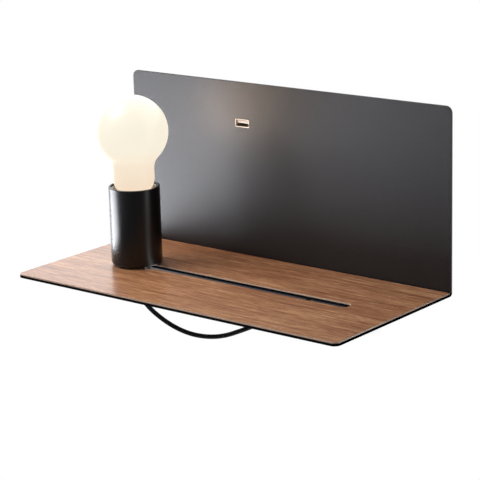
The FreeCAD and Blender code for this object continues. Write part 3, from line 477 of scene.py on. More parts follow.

# ================================================================ wood veneer
# Brown oak veneer, 1.2 mm thick, glued on the shelf with its grain along the shelf and lacquered
# satin. Its cut edge shows as a paler line round the slot and along the front: partly the cut wood's
# own tone, partly a painted highlight.

veneer = Finish("oak_veneer")
figure = veneer.noise(1.0, 4, 0.55, stretch=(5, 60, 5), warp=0.6)
streaks = veneer.noise(1.0, 5, 0.6, stretch=(16, 420, 16), offset=(3, 1, 0), warp=0.3)
fibres = veneer.noise(1.0, 3, 0.6, stretch=(75, 950, 75), offset=(1, 4, 0), warp=0.4)
pores = veneer.noise(1.0, 2, 0.6, stretch=(120, 1500, 120), offset=(7, 2, 0))
patches = veneer.noise(9, 2)
base = veneer.ramp(figure * 0.25 + streaks * 0.35 + fibres * 0.4,
                   (0.40, (0.20, 0.073, 0.028)), (0.47, (0.34, 0.140, 0.060)),
                   (0.53, (0.46, 0.220, 0.102)), (0.60, (0.70, 0.395, 0.205)))
pore_mask = ((pores - 0.56) * 8).clamped()
grained = veneer.mix(pore_mask * 0.5, base, (0.16, 0.058, 0.024))
toned = veneer.mix(patches * 0.2, grained, (0.33, 0.135, 0.060))
face_up = veneer.node("ShaderNodeNewGeometry", {}, {}, "Normal")
flatness = veneer.node("ShaderNodeSeparateXYZ", {}, {0: face_up}, "Z").size()
# Faces that don't face up, the cut edges, get a paler colour: partly the cut wood's own tone, partly a
# painted highlight.
cut_edge_tone_and_highlight = (1 - (flatness - 0.3) * 2.5).clamped()
veneer_material = veneer.shine(
    base_color=veneer.mix(cut_edge_tone_and_highlight, toned, (0.95, 0.66, 0.50)),
    roughness=0.34 + pore_mask * 0.2 + streaks * 0.08,
    normal=veneer.bump(1 - pore_mask, 0.00008, 0.6),
    coat_weight=0.5,
    coat_roughness=0.16,
)
veneer_inset, veneer_bend_gap = 0.0003, 0.0012
veneer_half = shelf_half - veneer_inset
veneer_front = shelf_front + veneer_inset
veneer_rear = panel_front - veneer_bend_gap
veneer_round = corner_radius - veneer_inset
veneer_line = corner_arc(-veneer_half + veneer_round, veneer_front + veneer_round, veneer_round, 180)
veneer_line += corner_arc(veneer_half - veneer_round, veneer_front + veneer_round, veneer_round, 270)
veneer_line += [(veneer_half, veneer_rear), (-veneer_half, veneer_rear)]
veneer_slot_half = slot_half + veneer_inset
veneer_slot = slot_line(-veneer_slot_half, veneer_slot_half, slot_middle, slot_radius + veneer_inset)
veneer_sheet = cut_sheet("veneer_sheet", veneer_line, [veneer_slot], veneer_thickness, 0.0001,
                         lambda u, v, depth: (u, v, shelf_top - depth))
fixed_to("shelf_body", painted(veneer_sheet, veneer_material), "wood_veneer")
kept_off(left_softbox, veneer_sheet)

# ================================================================ lamp cup
# Turned steel cup, rounded at its foot and rim, powder coated black. It stands on a thin disc, and the
# stem passes its floor.

lamp_axis = Vector((-0.1, slot_middle, 0))
cup_outer = 0.02125
cup_wall, cup_lift, cup_height, cup_floor_thickness = 0.002, 0.0016, 0.0651, 0.0044
cup_inner = cup_outer - cup_wall
cup_bore = 0.0051
cup_bottom = shelf_top + cup_lift
cup_top = cup_bottom + cup_height
cup_floor = cup_bottom + cup_floor_thickness
foot_round, rim_round = 0.0015, 0.0006
cup_coat = powder_coat("cup_powder_coat", (0.005, 0.005, 0.006), 0.26, 0.00003, mottle=0.04)


def arc(centre, radius, start, end, steps):
    """Points of an arc in a profile, as (distance from the axis, height)."""
    points = []
    for step in range(steps + 1):
        angle = math.radians(start + (end - start) * step / steps)
        points.append((centre[0] + radius * math.cos(angle), centre[1] + radius * math.sin(angle)))
    return points


def turned(name, profile, axis, segments=128, closed=True):
    """A turned piece from a profile of (distance from the axis, height); points on the axis close it."""
    mesh = bpy.data.meshes.new(name)
    work = bmesh.new()
    rings = []
    for radius, height in profile:
        if radius < 1e-7:
            rings.append([work.verts.new((axis[0], axis[1], height))])
            continue
        ring = []
        for step in range(segments):
            angle = 2 * math.pi * step / segments
            x, y = axis[0] + radius * math.cos(angle), axis[1] + radius * math.sin(angle)
            ring.append(work.verts.new((x, y, height)))
        rings.append(ring)
    pairs = list(zip(rings, rings[1:]))
    if closed and len(rings[0]) > 1:
        pairs.append((rings[-1], rings[0]))
    for lower, upper in pairs:
        for step in range(segments):
            following = (step + 1) % segments
            corners = []
            for ring, index in ((lower, step), (lower, following), (upper, following), (upper, step)):
                vertex = ring[index] if len(ring) > 1 else ring[0]
                if vertex not in corners:
                    corners.append(vertex)
            if len(corners) > 2:
                work.faces.new(corners)
    bmesh.ops.recalc_face_normals(work, faces=work.faces)
    work.to_mesh(mesh)
    work.free()
    mesh.shade_smooth()
    mesh.set_sharp_from_angle(angle=math.radians(35))
    piece = bpy.data.objects.new(name, mesh)
    bpy.context.collection.objects.link(piece)
    return piece


cup_profile = [(cup_bore, cup_bottom)]
cup_profile += arc((cup_outer - foot_round, cup_bottom + foot_round), foot_round, -90, 0, 8)
cup_profile += arc((cup_outer - rim_round, cup_top - rim_round), rim_round, 0, 90, 6)
cup_profile += arc((cup_inner + rim_round, cup_top - rim_round), rim_round, 90, 180, 6)
cup_profile += [(cup_inner, cup_floor), (cup_bore, cup_floor)]
cup = painted(turned("lamp_cup_turned", cup_profile, lamp_axis), cup_coat)
fixed_to("lamp_slider", cup, "lamp_cup")

# ================================================================ cord
# Round black cord that leaves the lamp's grip straight down, hangs in one loop and rises into the
# gland at the back. It is held at both ends. On the real lamp the loop moves with the lamp; here it is
# one fixed tube, not tied to the sliding lamp.

cord_radius = 0.002
cord_points = [
    (-0.1, -0.1015, -0.0899),
    (-0.1, -0.1015, -0.094),
    (-0.0985, -0.1005, -0.1015),
    (-0.093, -0.097, -0.113),
    (-0.078, -0.0865, -0.1285),
    (-0.062, -0.076, -0.137),
    (-0.044, -0.064, -0.1385),
    (-0.0265, -0.052, -0.1315),
    (-0.011, -0.0415, -0.1235),
    (0.0045, -0.031, -0.115),
    (0.0165, -0.023, -0.1075),
    (0.024, -0.018, -0.1),
    (0.0285, -0.015, -0.0918),
    (0.03, -0.014, -0.0848),
    (0.03, -0.014, -0.0785),
]


def smooth_line(points, fineness):
    """Points along a smooth NURBS line that has these control points."""
    data = bpy.data.curves.new("route", "CURVE")
    data.dimensions = "3D"
    data.resolution_u = fineness
    spline = data.splines.new("NURBS")
    spline.points.add(len(points) - 1)
    for target, point in zip(spline.points, points):
        target.co = (*point, 1)
    spline.order_u = 3
    spline.use_endpoint_u = True
    route = bpy.data.objects.new("route", data)
    bpy.context.collection.objects.link(route)
    graph = bpy.context.evaluated_depsgraph_get()
    mesh = bpy.data.meshes.new_from_object(route.evaluated_get(graph))
    line = [vertex.co.copy() for vertex in mesh.vertices]
    bpy.data.objects.remove(route)
    bpy.data.meshes.remove(mesh)
    return line


def tube(name, line, radius, sides=24):
    """A closed round tube along a line, with its length and turn in a UV map."""
    work = bmesh.new()
    layer = work.loops.layers.uv.new("along")
    rings = []
    travelled = [0.0]
    for before, after in zip(line, line[1:]):
        travelled.append(travelled[-1] + (after - before).length)
    side = Vector((0, 1, 0))
    for index, point in enumerate(line):
        tangent = (line[min(index + 1, len(line) - 1)] - line[max(index - 1, 0)]).normalized()
        side = (side - side.dot(tangent) * tangent).normalized()
        other = tangent.cross(side)
        ring = []
        for step in range(sides):
            angle = 2 * math.pi * step / sides
            ring.append(work.verts.new(point + radius * (math.cos(angle) * side + math.sin(angle) * other)))
        rings.append(ring)
    for index in range(len(rings) - 1):
        for step in range(sides):
            following = (step + 1) % sides
            face = work.faces.new((rings[index][step], rings[index][following],
                                   rings[index + 1][following], rings[index + 1][step]))
            places = ((index, step), (index, step + 1), (index + 1, step + 1), (index + 1, step))
            for loop, (row, column) in zip(face.loops, places):
                loop[layer].uv = (travelled[row], column / sides)
    work.faces.new(reversed(rings[0]))
    work.faces.new(rings[-1])
    bmesh.ops.recalc_face_normals(work, faces=work.faces)
    mesh = bpy.data.meshes.new(name)
    work.to_mesh(mesh)
    work.free()
    mesh.shade_smooth()
    mesh.set_sharp_from_angle(angle=math.radians(50))
    piece = bpy.data.objects.new(name, mesh)
    bpy.context.collection.objects.link(piece)
    return piece


jacket = Finish("cord_jacket")
jacket_grain = jacket.noise(900, 3)
jacket_cloud = jacket.noise(60, 2)
jacket_material = jacket.shine(
    base_color=jacket.mix(jacket_cloud, (0.010, 0.010, 0.011), (0.018, 0.018, 0.019)),
    roughness=0.38 + jacket_cloud * 0.12,
    normal=jacket.bump(jacket_grain, 0.00004),
)
cord_line = smooth_line(cord_points, 8)
cord = painted(tube("lamp_cord_tube", cord_line, cord_radius), jacket_material)
kept_off(left_softbox, cord)
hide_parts("lamp_cord")
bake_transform(cord)

# ================================================================ bulb
# Opal glass bulb with a 60 mm globe. A round hollow sweep joins the globe to the neck, and the
# foot rounds in to the screw cap. It is lit: its skin glows evenly, and a lamp of the globe's size,
# which rides with it, gives the light that falls on the panel and the shelf.

tip_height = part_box("bulb_tip")[0][2]
globe_radius = 0.03
glass_wall = 0.0008
bulb_length = 0.106
bulb_top = tip_height + bulb_length
globe_height = bulb_top - globe_radius
neck_radius = 0.0173
sweep_radius = 0.014
foot_radius = 0.016
neck_bottom = tip_height + 0.0375
sweep_x = neck_radius + sweep_radius
sweep_rise = math.sqrt((globe_radius + sweep_radius) ** 2 - sweep_x ** 2)
sweep_height = globe_height - sweep_rise
lean = math.degrees(math.atan2(sweep_rise, sweep_x))
cap_radius, glass_mouth = 0.0127, 0.0118
foot_end = -math.degrees(math.acos((cap_radius - (neck_radius - foot_radius)) / foot_radius))

opal = Finish("lit_opal_glass")
shown_foot, shown_height = 0.03, 0.076
height = (opal.axis("Z") - (tip_height + shown_foot)) / shown_height
cloud = opal.noise(30, 2)
glow = opal.ramp(height.clamped() + (cloud - 0.5) * 0.06,
                 (0.0, (0.92, 0.74, 0.56)), (0.22, (0.94, 0.80, 0.63)),
                 (0.45, (0.96, 0.89, 0.73)), (1.0, (0.96, 0.90, 0.74)))
opal_material = opal.shine(base_color=(0.12, 0.12, 0.12), roughness=0.32 + cloud * 0.05,
                           emission_color=glow, emission_strength=0.95)
glass_profile = arc((0, globe_height), globe_radius, 90, -lean, 40)
glass_profile += arc((sweep_x, sweep_height), sweep_radius, 180 - lean, 180, 12)
glass_profile += arc((neck_radius - foot_radius, neck_bottom), foot_radius, 0, foot_end, 14)
glass_profile += [(glass_mouth, glass_profile[-1][1])]
glass_profile += arc((neck_radius - foot_radius, neck_bottom), foot_radius - glass_wall, foot_end, 0, 10)
glass_profile += arc((sweep_x, sweep_height), sweep_radius + glass_wall, 180, 180 - lean, 10)
glass_profile += arc((0, globe_height), globe_radius - glass_wall, -lean, 90, 24)
glass_profile[0] = (0, bulb_top)
glass_profile[-1] = (0, bulb_top - glass_wall)
glass = painted(turned("opal_glass", glass_profile, lamp_axis, closed=False), opal_material)
fixed_to("bulb", glass, "bulb_glass")

light_clearance = 0.0003
bulb_light_data = bpy.data.lights.new("bulb_light", "POINT")
bulb_light_data.energy = 0.23
bulb_light_data.color = (1.0, 0.70, 0.50)
bulb_light_data.use_soft_falloff = False
bulb_light_data.shadow_soft_size = globe_radius + light_clearance
bulb_light = bpy.data.objects.new("bulb_light", bulb_light_data)
bpy.context.collection.objects.link(bulb_light)
bulb_light.location = (lamp_axis.x, lamp_axis.y, globe_height)
bulb_light.visible_camera = False
bulb_light.parent = glass
kept_off(bulb_light, glass)
kept_off(left_softbox, glass)

# ================================================================ lamp slide
# A steel disc lifts the cup off the shelf. Under the shelf a nylon bush, a coned spring washer and a
# nut hold the hollow threaded stem, and a tapered nylon grip takes the cord.


def dress(node, material):
    """Gives a CAD node a material."""
    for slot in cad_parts[node].material_slots:
        slot.material = material


def merged_copy(node, name):
    """A new piece from a CAD node's mesh, with its triangles joined and its flat faces made whole."""
    work = bmesh.new()
    work.from_mesh(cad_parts[node].data)
    bmesh.ops.remove_doubles(work, verts=work.verts, dist=2e-6)
    bmesh.ops.dissolve_limit(work, angle_limit=math.radians(0.5), verts=work.verts, edges=work.edges)
    for face in work.faces:
        bends = [edge.calc_face_angle(0) for edge in face.edges]
        face.smooth = any(0.005 < bend < 0.52 for bend in bends)
    mesh = bpy.data.meshes.new(name)
    work.to_mesh(mesh)
    work.free()
    piece = bpy.data.objects.new(name, mesh)
    bpy.context.collection.objects.link(piece)
    return piece


def baked(piece):
    """Turns a piece with modifiers into a plain mesh."""
    graph = bpy.context.evaluated_depsgraph_get()
    mesh = bpy.data.meshes.new_from_object(piece.evaluated_get(graph))
    piece.modifiers.clear()
    piece.data = mesh
    return piece


def softened(node, radius):
    """A copy of a CAD node with its sharp edges eased, as a mould, a tool or a coat leaves them."""
    piece = merged_copy(node, node + "_eased")
    piece.data.materials.append(None)
    piece.data.materials.append(None)
    bevel = piece.modifiers.new("edge", "BEVEL")
    bevel.width = radius
    bevel.segments = 2
    bevel.limit_method = "ANGLE"
    bevel.angle_limit = math.radians(32)
    bevel.use_clamp_overlap = True
    bevel.material = 1
    baked(piece)
    for face in piece.data.polygons:
        if face.material_index == 1:
            face.use_smooth = True
            face.material_index = 0
    return piece


def eased(body, node, radius, material):
    """Replaces a CAD node by its softened copy."""
    return fixed_to(body, painted(softened(node, radius), material), node)


def plated(name, dark, light, rough, spangle=120):
    """Plated or bare metal with a cloudy finish and fine scratches."""
    metal = Finish(name)
    cloud = metal.noise(spangle, 3)
    scratches = metal.noise(1.0, 4, 0.7, stretch=(300, 2600, 300))
    return metal.shine(base_color=metal.mix(cloud, dark, light), metallic=1.0,
                       roughness=rough + cloud * 0.12 + scratches * 0.08,
                       normal=metal.bump(scratches, 0.00001, 0.4))


def moulded(name, colour, rough, speckle=0.15):
    """Moulded plastic with a faint spark-eroded texture."""
    plastic = Finish(name)
    skin = plastic.grains(2200)
    cloud = plastic.noise(90, 2)
    darker = tuple(0.8 * c for c in colour)
    return plastic.shine(base_color=plastic.mix(cloud, darker, colour), roughness=rough + cloud * speckle,
                         normal=plastic.bump(skin, 0.00002, 0.6))


def lathe_turned(name, dark, light, rough, pitch):
    """Turned metal: fine rings left by the tool round the lamp's axis."""
    metal = Finish(name)
    ring = (metal.off_axis(lamp_axis.x, lamp_axis.y) * (2 * math.pi / pitch)).wave()
    cloud = metal.noise(150, 3)
    return metal.shine(base_color=metal.mix(cloud, dark, light), metallic=1.0,
                       roughness=rough + cloud * 0.1, normal=metal.bump(ring, pitch * 0.04, 0.5))


zinc = plated("zinc_plate", (0.52, 0.54, 0.56), (0.68, 0.70, 0.72), 0.24)
brass = plated("brass", (0.60, 0.42, 0.17), (0.74, 0.54, 0.24), 0.22)
turned_steel = lathe_turned("turned_steel", (0.62, 0.64, 0.66), (0.76, 0.78, 0.80), 0.18, 0.0003)
black_nylon = moulded("black_nylon", (0.022, 0.022, 0.023), 0.42)
spring_steel = plated("blued_spring_steel", (0.20, 0.20, 0.22), (0.32, 0.32, 0.35), 0.3)

eased("lamp_slider", "base_disc", 0.00012, turned_steel)
eased("lamp_slider", "slide_bush", 0.0002, black_nylon)
eased("lamp_slider", "hollow_stem", 0.0001, zinc)
eased("lamp_slider", "spring_washer", 0.00008, spring_steel)
eased("lamp_slider", "stem_nut", 0.00015, zinc)
eased("lamp_slider", "cord_grip", 0.0002, black_nylon)

# ================================================================ lampholder
# Two pressed metal shells with a glazed ceramic core, a brass screw shell, a sprung centre leaf and
# two brass posts for the wires. Only its bright rim shows, inside the cup's mouth.

satin_nickel = lathe_turned("satin_nickel", (0.60, 0.58, 0.55), (0.74, 0.72, 0.69), 0.22, 0.0004)
eased("lamp_slider", "holder_dome", 0.0003, satin_nickel)
eased("lamp_slider", "holder_barrel", 0.0002, satin_nickel)
ceramic = Finish("glazed_ceramic")
crackle = ceramic.noise(400, 3)
eased("lamp_slider", "holder_insert", 0.0005, ceramic.shine(
    base_color=ceramic.mix(crackle, (0.74, 0.72, 0.67), (0.82, 0.80, 0.76)), roughness=0.18 + crackle * 0.1,
    coat_weight=0.4, normal=ceramic.bump(crackle, 0.00003)))
dress("screw_shell", brass)
eased("lamp_slider", "centre_contact", 0.00008, brass)
eased("lamp_slider", "holder_terminals", 0.0002, brass)

# ================================================================ bulb's foot and inside
# Nickel-plated screw cap with a black glass insulator and a soldered tip. Inside, a ceramic pillar
# carries four coated LED rods.

eased("bulb", "bulb_cap", 0.0002, plated("nickel_plate", (0.60, 0.60, 0.58), (0.74, 0.74, 0.72), 0.2))
eased("bulb", "bulb_insulator", 0.0002, moulded("black_glass", (0.012, 0.012, 0.014), 0.12, 0.05))
eased("bulb", "bulb_tip", 0.0001, plated("solder", (0.42, 0.42, 0.43), (0.56, 0.56, 0.57), 0.34))
dress("bulb_pillar", moulded("white_ceramic", (0.80, 0.80, 0.78), 0.5))
dress("led_rods", moulded("phosphor", (0.80, 0.62, 0.18), 0.6))

# ================================================================ housing and wall bracket
# The housing is a folded tray, powder coated like the panel and open towards the wall. It slides over
# the ears of a galvanised strap that is screwed to the wall.

housing_coat = powder_coat("housing_powder_coat", (0.020, 0.020, 0.021), 0.42, 0.00012)
eased("shelf_body", "rear_housing", 0.0003, housing_coat)
galvanised = Finish("galvanised_steel")
spangles = galvanised.grains(140, output="Color")
spangle = galvanised.node("ShaderNodeSeparateColor", {}, {"Color": spangles}, "Red")
frost = galvanised.noise(700, 3)
galvanised_steel = galvanised.shine(
    base_color=galvanised.mix(spangle, (0.46, 0.48, 0.50), (0.66, 0.68, 0.70)), metallic=1.0,
    roughness=0.30 + spangle * 0.14 + frost * 0.1, normal=galvanised.bump(frost, 0.00003, 0.5))
eased("shelf_body", "wall_bracket", 0.0002, galvanised_steel)

# ================================================================ screws, studs and nuts
# Zinc-plated pan-head screws with a cross recess hold the housing, the board and the earth wire.
# Studs welded to the panel carry flange nuts, and slotted grub screws clamp the mains wires.


class Tree:
    """A Geometry Nodes tree with named inputs."""

    def __init__(self, name, **inputs):
        self.tree = bpy.data.node_groups.new(name, "GeometryNodeTree")
        panel = self.tree.interface
        panel.new_socket("Geometry", in_out="INPUT", socket_type="NodeSocketGeometry")
        kinds = {float: "NodeSocketFloat", bool: "NodeSocketBool", tuple: "NodeSocketVector"}
        for label, value in inputs.items():
            kind = "NodeSocketMaterial" if value is None else kinds[type(value)]
            socket = panel.new_socket(label.replace("_", " ").capitalize(), in_out="INPUT", socket_type=kind)
            if value is not None:
                socket.default_value = value
        panel.new_socket("Geometry", in_out="OUTPUT", socket_type="NodeSocketGeometry")
        self.given = self.tree.nodes.new("NodeGroupInput")
        self.result = self.tree.nodes.new("NodeGroupOutput")

    def input(self, label):
        return self.given.outputs[label]

    def node(self, kind, settings, sockets, output=0):
        """Adds a node; a list of sockets is joined into one."""
        made = self.tree.nodes.new(kind)
        for key, value in settings.items():
            setattr(made, key, value)
        for key, value in sockets.items():
            for item in (value if isinstance(value, list) else [value]):
                if isinstance(item, bpy.types.NodeSocket):
                    self.tree.links.new(item, made.inputs[key])
                else:
                    made.inputs[key].default_value = item
        return made.outputs[output]

    def maths(self, operation, *values):
        return self.node("ShaderNodeMath", {"operation": operation}, dict(enumerate(values)))

    def vector(self, x=0.0, y=0.0, z=0.0):
        return self.node("ShaderNodeCombineXYZ", {}, {0: x, 1: y, 2: z})

    def moved(self, geometry, offset):
        return self.node("GeometryNodeTransform", {}, {"Geometry": geometry, "Translation": offset})

    def cut(self, solid, tools):
        return self.node("GeometryNodeMeshBoolean", {"operation": "DIFFERENCE", "solver": "EXACT"},
                         {"Mesh 1": solid, "Mesh 2": tools})

    def place(self, item):
        """Sets the item on every point of the input, turned, realised and painted."""
        spots = self.node("GeometryNodeInstanceOnPoints", {}, {
            "Points": self.input("Geometry"), "Instance": item, "Rotation": self.input("Turn")})
        real = self.node("GeometryNodeRealizeInstances", {}, {"Geometry": spots})
        dressed = self.node("GeometryNodeSetMaterial", {}, {
            "Geometry": real, "Material": self.input("Finish")})
        self.tree.links.new(dressed, self.result.inputs[0])
        return self.tree


def grown(name, places, tree, body, nodes, **values):
    """A piece grown by a tree on these places, made a plain mesh, in place of CAD nodes."""
    mesh = bpy.data.meshes.new(name)
    mesh.from_pydata(places, [], [])
    piece = bpy.data.objects.new(name, mesh)
    bpy.context.collection.objects.link(piece)
    grow = piece.modifiers.new("grow", "NODES")
    grow.node_group = tree
    for item in tree.interface.items_tree:
        label = item.name.lower().replace(" ", "_")
        if item.in_out == "INPUT" and label in values:
            grow[item.identifier] = values[label]
    baked(piece)
    piece.data.shade_smooth()
    piece.data.set_sharp_from_angle(angle=math.radians(32))
    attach(piece, body)
    if nodes:
        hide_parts(*nodes)
    return piece


def screw_tree():
    """Screw that points down -Z from its seat: a crowned head with a recess, a shank and a helical thread."""
    tree = Tree("screw", head_diameter=0.0076, head_height=0.0026, crown=0.0008, shank_diameter=0.004,
                shank_length=0.008, pitch=0.0007, recess_length=0.0042, recess_width=0.0008,
                recess_depth=0.0014, cross=True, turn=(0.0, 0.0, 0.0), finish=None)
    head_radius = tree.maths("DIVIDE", tree.input("Head diameter"), 2.0)
    side = tree.maths("SUBTRACT", tree.input("Head height"), tree.input("Crown"))
    head = tree.node("GeometryNodeMeshCylinder", {"fill_type": "TRIANGLE_FAN"}, {
        "Vertices": 32, "Side Segments": 1, "Fill Segments": 6, "Radius": head_radius, "Depth": side})
    head = tree.moved(head, tree.vector(z=tree.maths("DIVIDE", side, 2.0)))
    spot = tree.node("GeometryNodeInputPosition", {}, {})
    flat = tree.node("ShaderNodeVectorMath", {"operation": "MULTIPLY"}, {0: spot, 1: (1.0, 1.0, 0.0)})
    off = tree.node("ShaderNodeVectorMath", {"operation": "LENGTH"}, {0: flat}, "Value")
    share = tree.maths("DIVIDE", off, head_radius)
    falling = tree.maths("SUBTRACT", 1.0, tree.maths("POWER", share, 2.2))
    rise = tree.maths("MULTIPLY", tree.input("Crown"), falling)
    height = tree.node("ShaderNodeSeparateXYZ", {}, {0: spot}, "Z")
    upper = tree.maths("GREATER_THAN", height, tree.maths("MULTIPLY", side, 0.9))
    head = tree.node("GeometryNodeSetPosition", {}, {
        "Geometry": head, "Selection": upper, "Offset": tree.vector(z=rise)})
    blade_size = tree.vector(tree.input("Recess length"), tree.input("Recess width"),
                             tree.maths("MULTIPLY", tree.input("Recess depth"), 2.0))
    blade = tree.node("GeometryNodeMeshCube", {}, {"Size": blade_size})
    blade = tree.moved(blade, tree.vector(z=tree.input("Head height")))
    second = tree.node("GeometryNodeTransform", {}, {"Geometry": blade, "Rotation": (0.0, 0.0, math.pi / 2)})
    both = tree.node("GeometryNodeMeshBoolean", {"operation": "UNION", "solver": "EXACT"},
                     {"Mesh 2": [blade, second]})
    tool = tree.node("GeometryNodeSwitch", {"input_type": "GEOMETRY"}, {
        "Switch": tree.input("Cross"), "False": blade, "True": both})
    head = tree.cut(head, tool)
    shank_radius = tree.maths("DIVIDE", tree.input("Shank diameter"), 2.0)
    core_radius = tree.maths("SUBTRACT", shank_radius, tree.maths("MULTIPLY", tree.input("Pitch"), 0.3))
    shank = tree.node("GeometryNodeMeshCylinder", {"fill_type": "TRIANGLE_FAN"}, {
        "Vertices": 24, "Radius": core_radius, "Depth": tree.input("Shank length")})
    shank = tree.moved(shank, tree.vector(z=tree.maths("DIVIDE", tree.input("Shank length"), -2.0)))
    run = tree.maths("SUBTRACT", tree.input("Shank length"), tree.maths("MULTIPLY", tree.input("Pitch"), 1.2))
    helix = tree.node("GeometryNodeCurveSpiral", {}, {
        "Resolution": 20, "Rotations": tree.maths("DIVIDE", run, tree.input("Pitch")),
        "Start Radius": core_radius, "End Radius": core_radius, "Height": tree.maths("MULTIPLY", run, -1.0)})
    helix = tree.moved(helix, tree.vector(z=tree.maths("MULTIPLY", tree.input("Pitch"), -0.6)))
    ridge = tree.node("GeometryNodeCurvePrimitiveCircle", {"mode": "RADIUS"}, {
        "Resolution": 4, "Radius": tree.maths("MULTIPLY", tree.input("Pitch"), 0.3)})
    thread = tree.node("GeometryNodeCurveToMesh", {}, {
        "Curve": helix, "Profile Curve": ridge, "Fill Caps": True})
    return tree.place(tree.node("GeometryNodeJoinGeometry", {}, {"Geometry": [head, shank, thread]}))


def nut_tree():
    """Hexagonal nut that stands on its seat, with rounded corners, a bore and an optional flange."""
    tree = Tree("nut", flats=0.007, height=0.0032, bore=0.0042, flange_diameter=0.009, flange_height=0.001,
                turn=(0.0, 0.0, 0.0), finish=None)
    corner = tree.maths("DIVIDE", tree.input("Flats"), math.sqrt(3))
    half = tree.maths("DIVIDE", tree.input("Height"), 2.0)
    prism = tree.node("GeometryNodeMeshCylinder", {"fill_type": "NGON"}, {
        "Vertices": 6, "Radius": corner, "Depth": tree.input("Height")})
    ball = tree.node("GeometryNodeMeshUVSphere", {}, {"Segments": 48, "Rings": 32, "Radius": 1.0})
    wide = tree.maths("MULTIPLY", tree.input("Flats"), 0.60)
    tall = tree.maths("MULTIPLY", tree.input("Height"), 0.975)
    ball = tree.node("GeometryNodeTransform", {}, {"Geometry": ball, "Scale": tree.vector(wide, wide, tall)})
    body = tree.node("GeometryNodeMeshBoolean", {"operation": "INTERSECT", "solver": "EXACT"},
                     {"Mesh 2": [prism, ball]})
    body = tree.moved(body, tree.vector(z=half))
    flange = tree.node("GeometryNodeMeshCylinder", {"fill_type": "NGON"}, {
        "Vertices": 48, "Radius": tree.maths("DIVIDE", tree.input("Flange diameter"), 2.0),
        "Depth": tree.input("Flange height")})
    flange = tree.moved(flange, tree.vector(z=tree.maths("DIVIDE", tree.input("Flange height"), 2.0)))
    whole = tree.node("GeometryNodeMeshBoolean", {"operation": "UNION", "solver": "EXACT"},
                      {"Mesh 2": [body, flange]})
    drill = tree.node("GeometryNodeMeshCylinder", {"fill_type": "NGON"}, {
        "Vertices": 32, "Radius": tree.maths("DIVIDE", tree.input("Bore"), 2.0),
        "Depth": tree.maths("MULTIPLY", tree.input("Height"), 4.0)})
    return tree.place(tree.cut(whole, drill))


screws = screw_tree()
nuts = nut_tree()
quarter = math.pi / 2
housing_side = 0.11
tray_floor = -0.0258
stud_side, stud_rise, stud_seat = 0.095, 0.04, -0.027
stud_places = [(x, z) for x in (-stud_side, stud_side) for z in (-stud_rise, stud_rise)]
screw_row = -0.009
grown("fixing_screw_left", [(-housing_side, screw_row, 0)], screws, "shelf_body", ["fixing_screws"],
      turn=(0.0, -quarter, 0.0), finish=zinc)
grown("fixing_screw_right", [(housing_side, screw_row, 0)], screws, "shelf_body", [],
      turn=(0.0, quarter, 0.0), finish=zinc)
earth_place = (0.032, -0.0045, -0.012)
grown("earth_screw_brass", [earth_place], screws, "shelf_body", ["earth_screw"], shank_length=0.0045,
      turn=(quarter, 0.0, 0.0), finish=brass)
board_face = -0.0134
board_screw_places = [(port_x + side, board_face, port_height) for side in (-0.015, 0.015)]
grown("board_screws_cross", board_screw_places, screws, "shelf_body", ["board_screws"],
      head_diameter=0.0046, head_height=0.0018, crown=0.0006, shank_diameter=0.0025, shank_length=0.006,
      pitch=0.00045, recess_length=0.0026, recess_width=0.0005, recess_depth=0.001, turn=(-quarter, 0.0, 0.0),
      finish=zinc)
terminal_pitch, terminal_face = 0.012, -0.014
terminal_places = [(port_x + pole * terminal_pitch, terminal_face, z)
                   for pole in (-1, 0, 1) for z in (-0.0125, -0.0035)]
grown("terminal_screws_slotted", terminal_places, screws, "shelf_body", ["terminal_screws"],
      head_diameter=0.0035, head_height=0.0012, crown=0.0001, shank_diameter=0.0035, shank_length=0.0038,
      pitch=0.0006, recess_length=0.005, recess_width=0.0006, recess_depth=0.0008, cross=False,
      turn=(quarter, 0.0, 0.0), finish=brass)
grown("flange_nuts", [(x, tray_floor, z) for x, z in stud_places], nuts, "shelf_body", ["stud_nuts"],
      turn=(-quarter, 0.0, 0.0), finish=zinc)
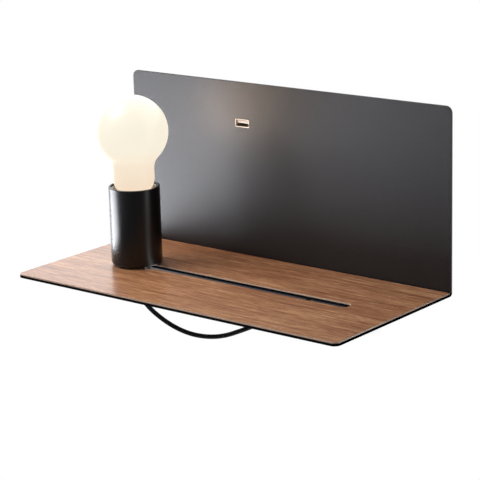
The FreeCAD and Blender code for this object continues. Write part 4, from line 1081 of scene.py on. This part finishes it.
grown("threaded_studs", [(x, stud_seat, z) for x, z in stud_places], screws, "shelf_body", ["panel_studs"],
      head_diameter=0.0036, head_height=0.0002, crown=0.0001, shank_diameter=0.004, shank_length=0.007,
      recess_depth=0.00002, turn=(quarter, 0.0, 0.0), finish=zinc)

# ================================================================ USB socket and its board
# A drawn steel shell with flared lips and a pale tongue with four gilt contacts. It is soldered to a
# board on two posts, and a potted supply beside it feeds it.

tinned_steel = plated("tinned_steel", (0.60, 0.57, 0.54), (0.76, 0.72, 0.68), 0.2, 400)
eased("shelf_body", "usb_shell", 0.00008, tinned_steel)
eased("shelf_body", "usb_tongue", 0.0001, moulded("pale_plastic", (0.72, 0.70, 0.66), 0.4))
dress("usb_contacts", plated("gilt_contacts", (0.70, 0.50, 0.20), (0.86, 0.66, 0.30), 0.16, 900))
board = Finish("circuit_board")
weave = board.noise(1500, 2)
tracks = board.node("ShaderNodeTexBrick", {}, {
    "Vector": board.node("ShaderNodeMapping", {}, {"Vector": board.place, "Rotation": (quarter, 0.0, 0.0)}),
    "Scale": 420.0, "Mortar Size": 0.03, "Bias": 0.0}, "Fac")
eased("shelf_body", "usb_board", 0.0001, board.shine(
    base_color=board.mix(tracks * 0.55, (0.010, 0.085, 0.035), (0.03, 0.18, 0.07)),
    roughness=0.26 + weave * 0.1, normal=board.bump(tracks + weave * 0.3, 0.00003)))
eased("shelf_body", "board_standoffs", 0.0001, brass)
ferrite = moulded("ferrite", (0.05, 0.05, 0.055), 0.5)
eased("shelf_body", "board_parts", 0.0003, ferrite)
eased("shelf_body", "usb_driver", 0.0006, moulded("white_polycarbonate", (0.62, 0.62, 0.60), 0.42))

# ================================================================ terminal block
# Natural nylon strip of three poles, with a brass insert and two clamping screws in each.

eased("shelf_body", "terminal_block", 0.0004, moulded("natural_nylon", (0.66, 0.65, 0.60), 0.45))

# ================================================================ cord gland
# Black nylon strain relief with rings that let it bend, held in the housing's underside by a nut.

eased("shelf_body", "cord_gland", 0.00025, black_nylon)
eased("shelf_body", "gland_nut", 0.0003, black_nylon)
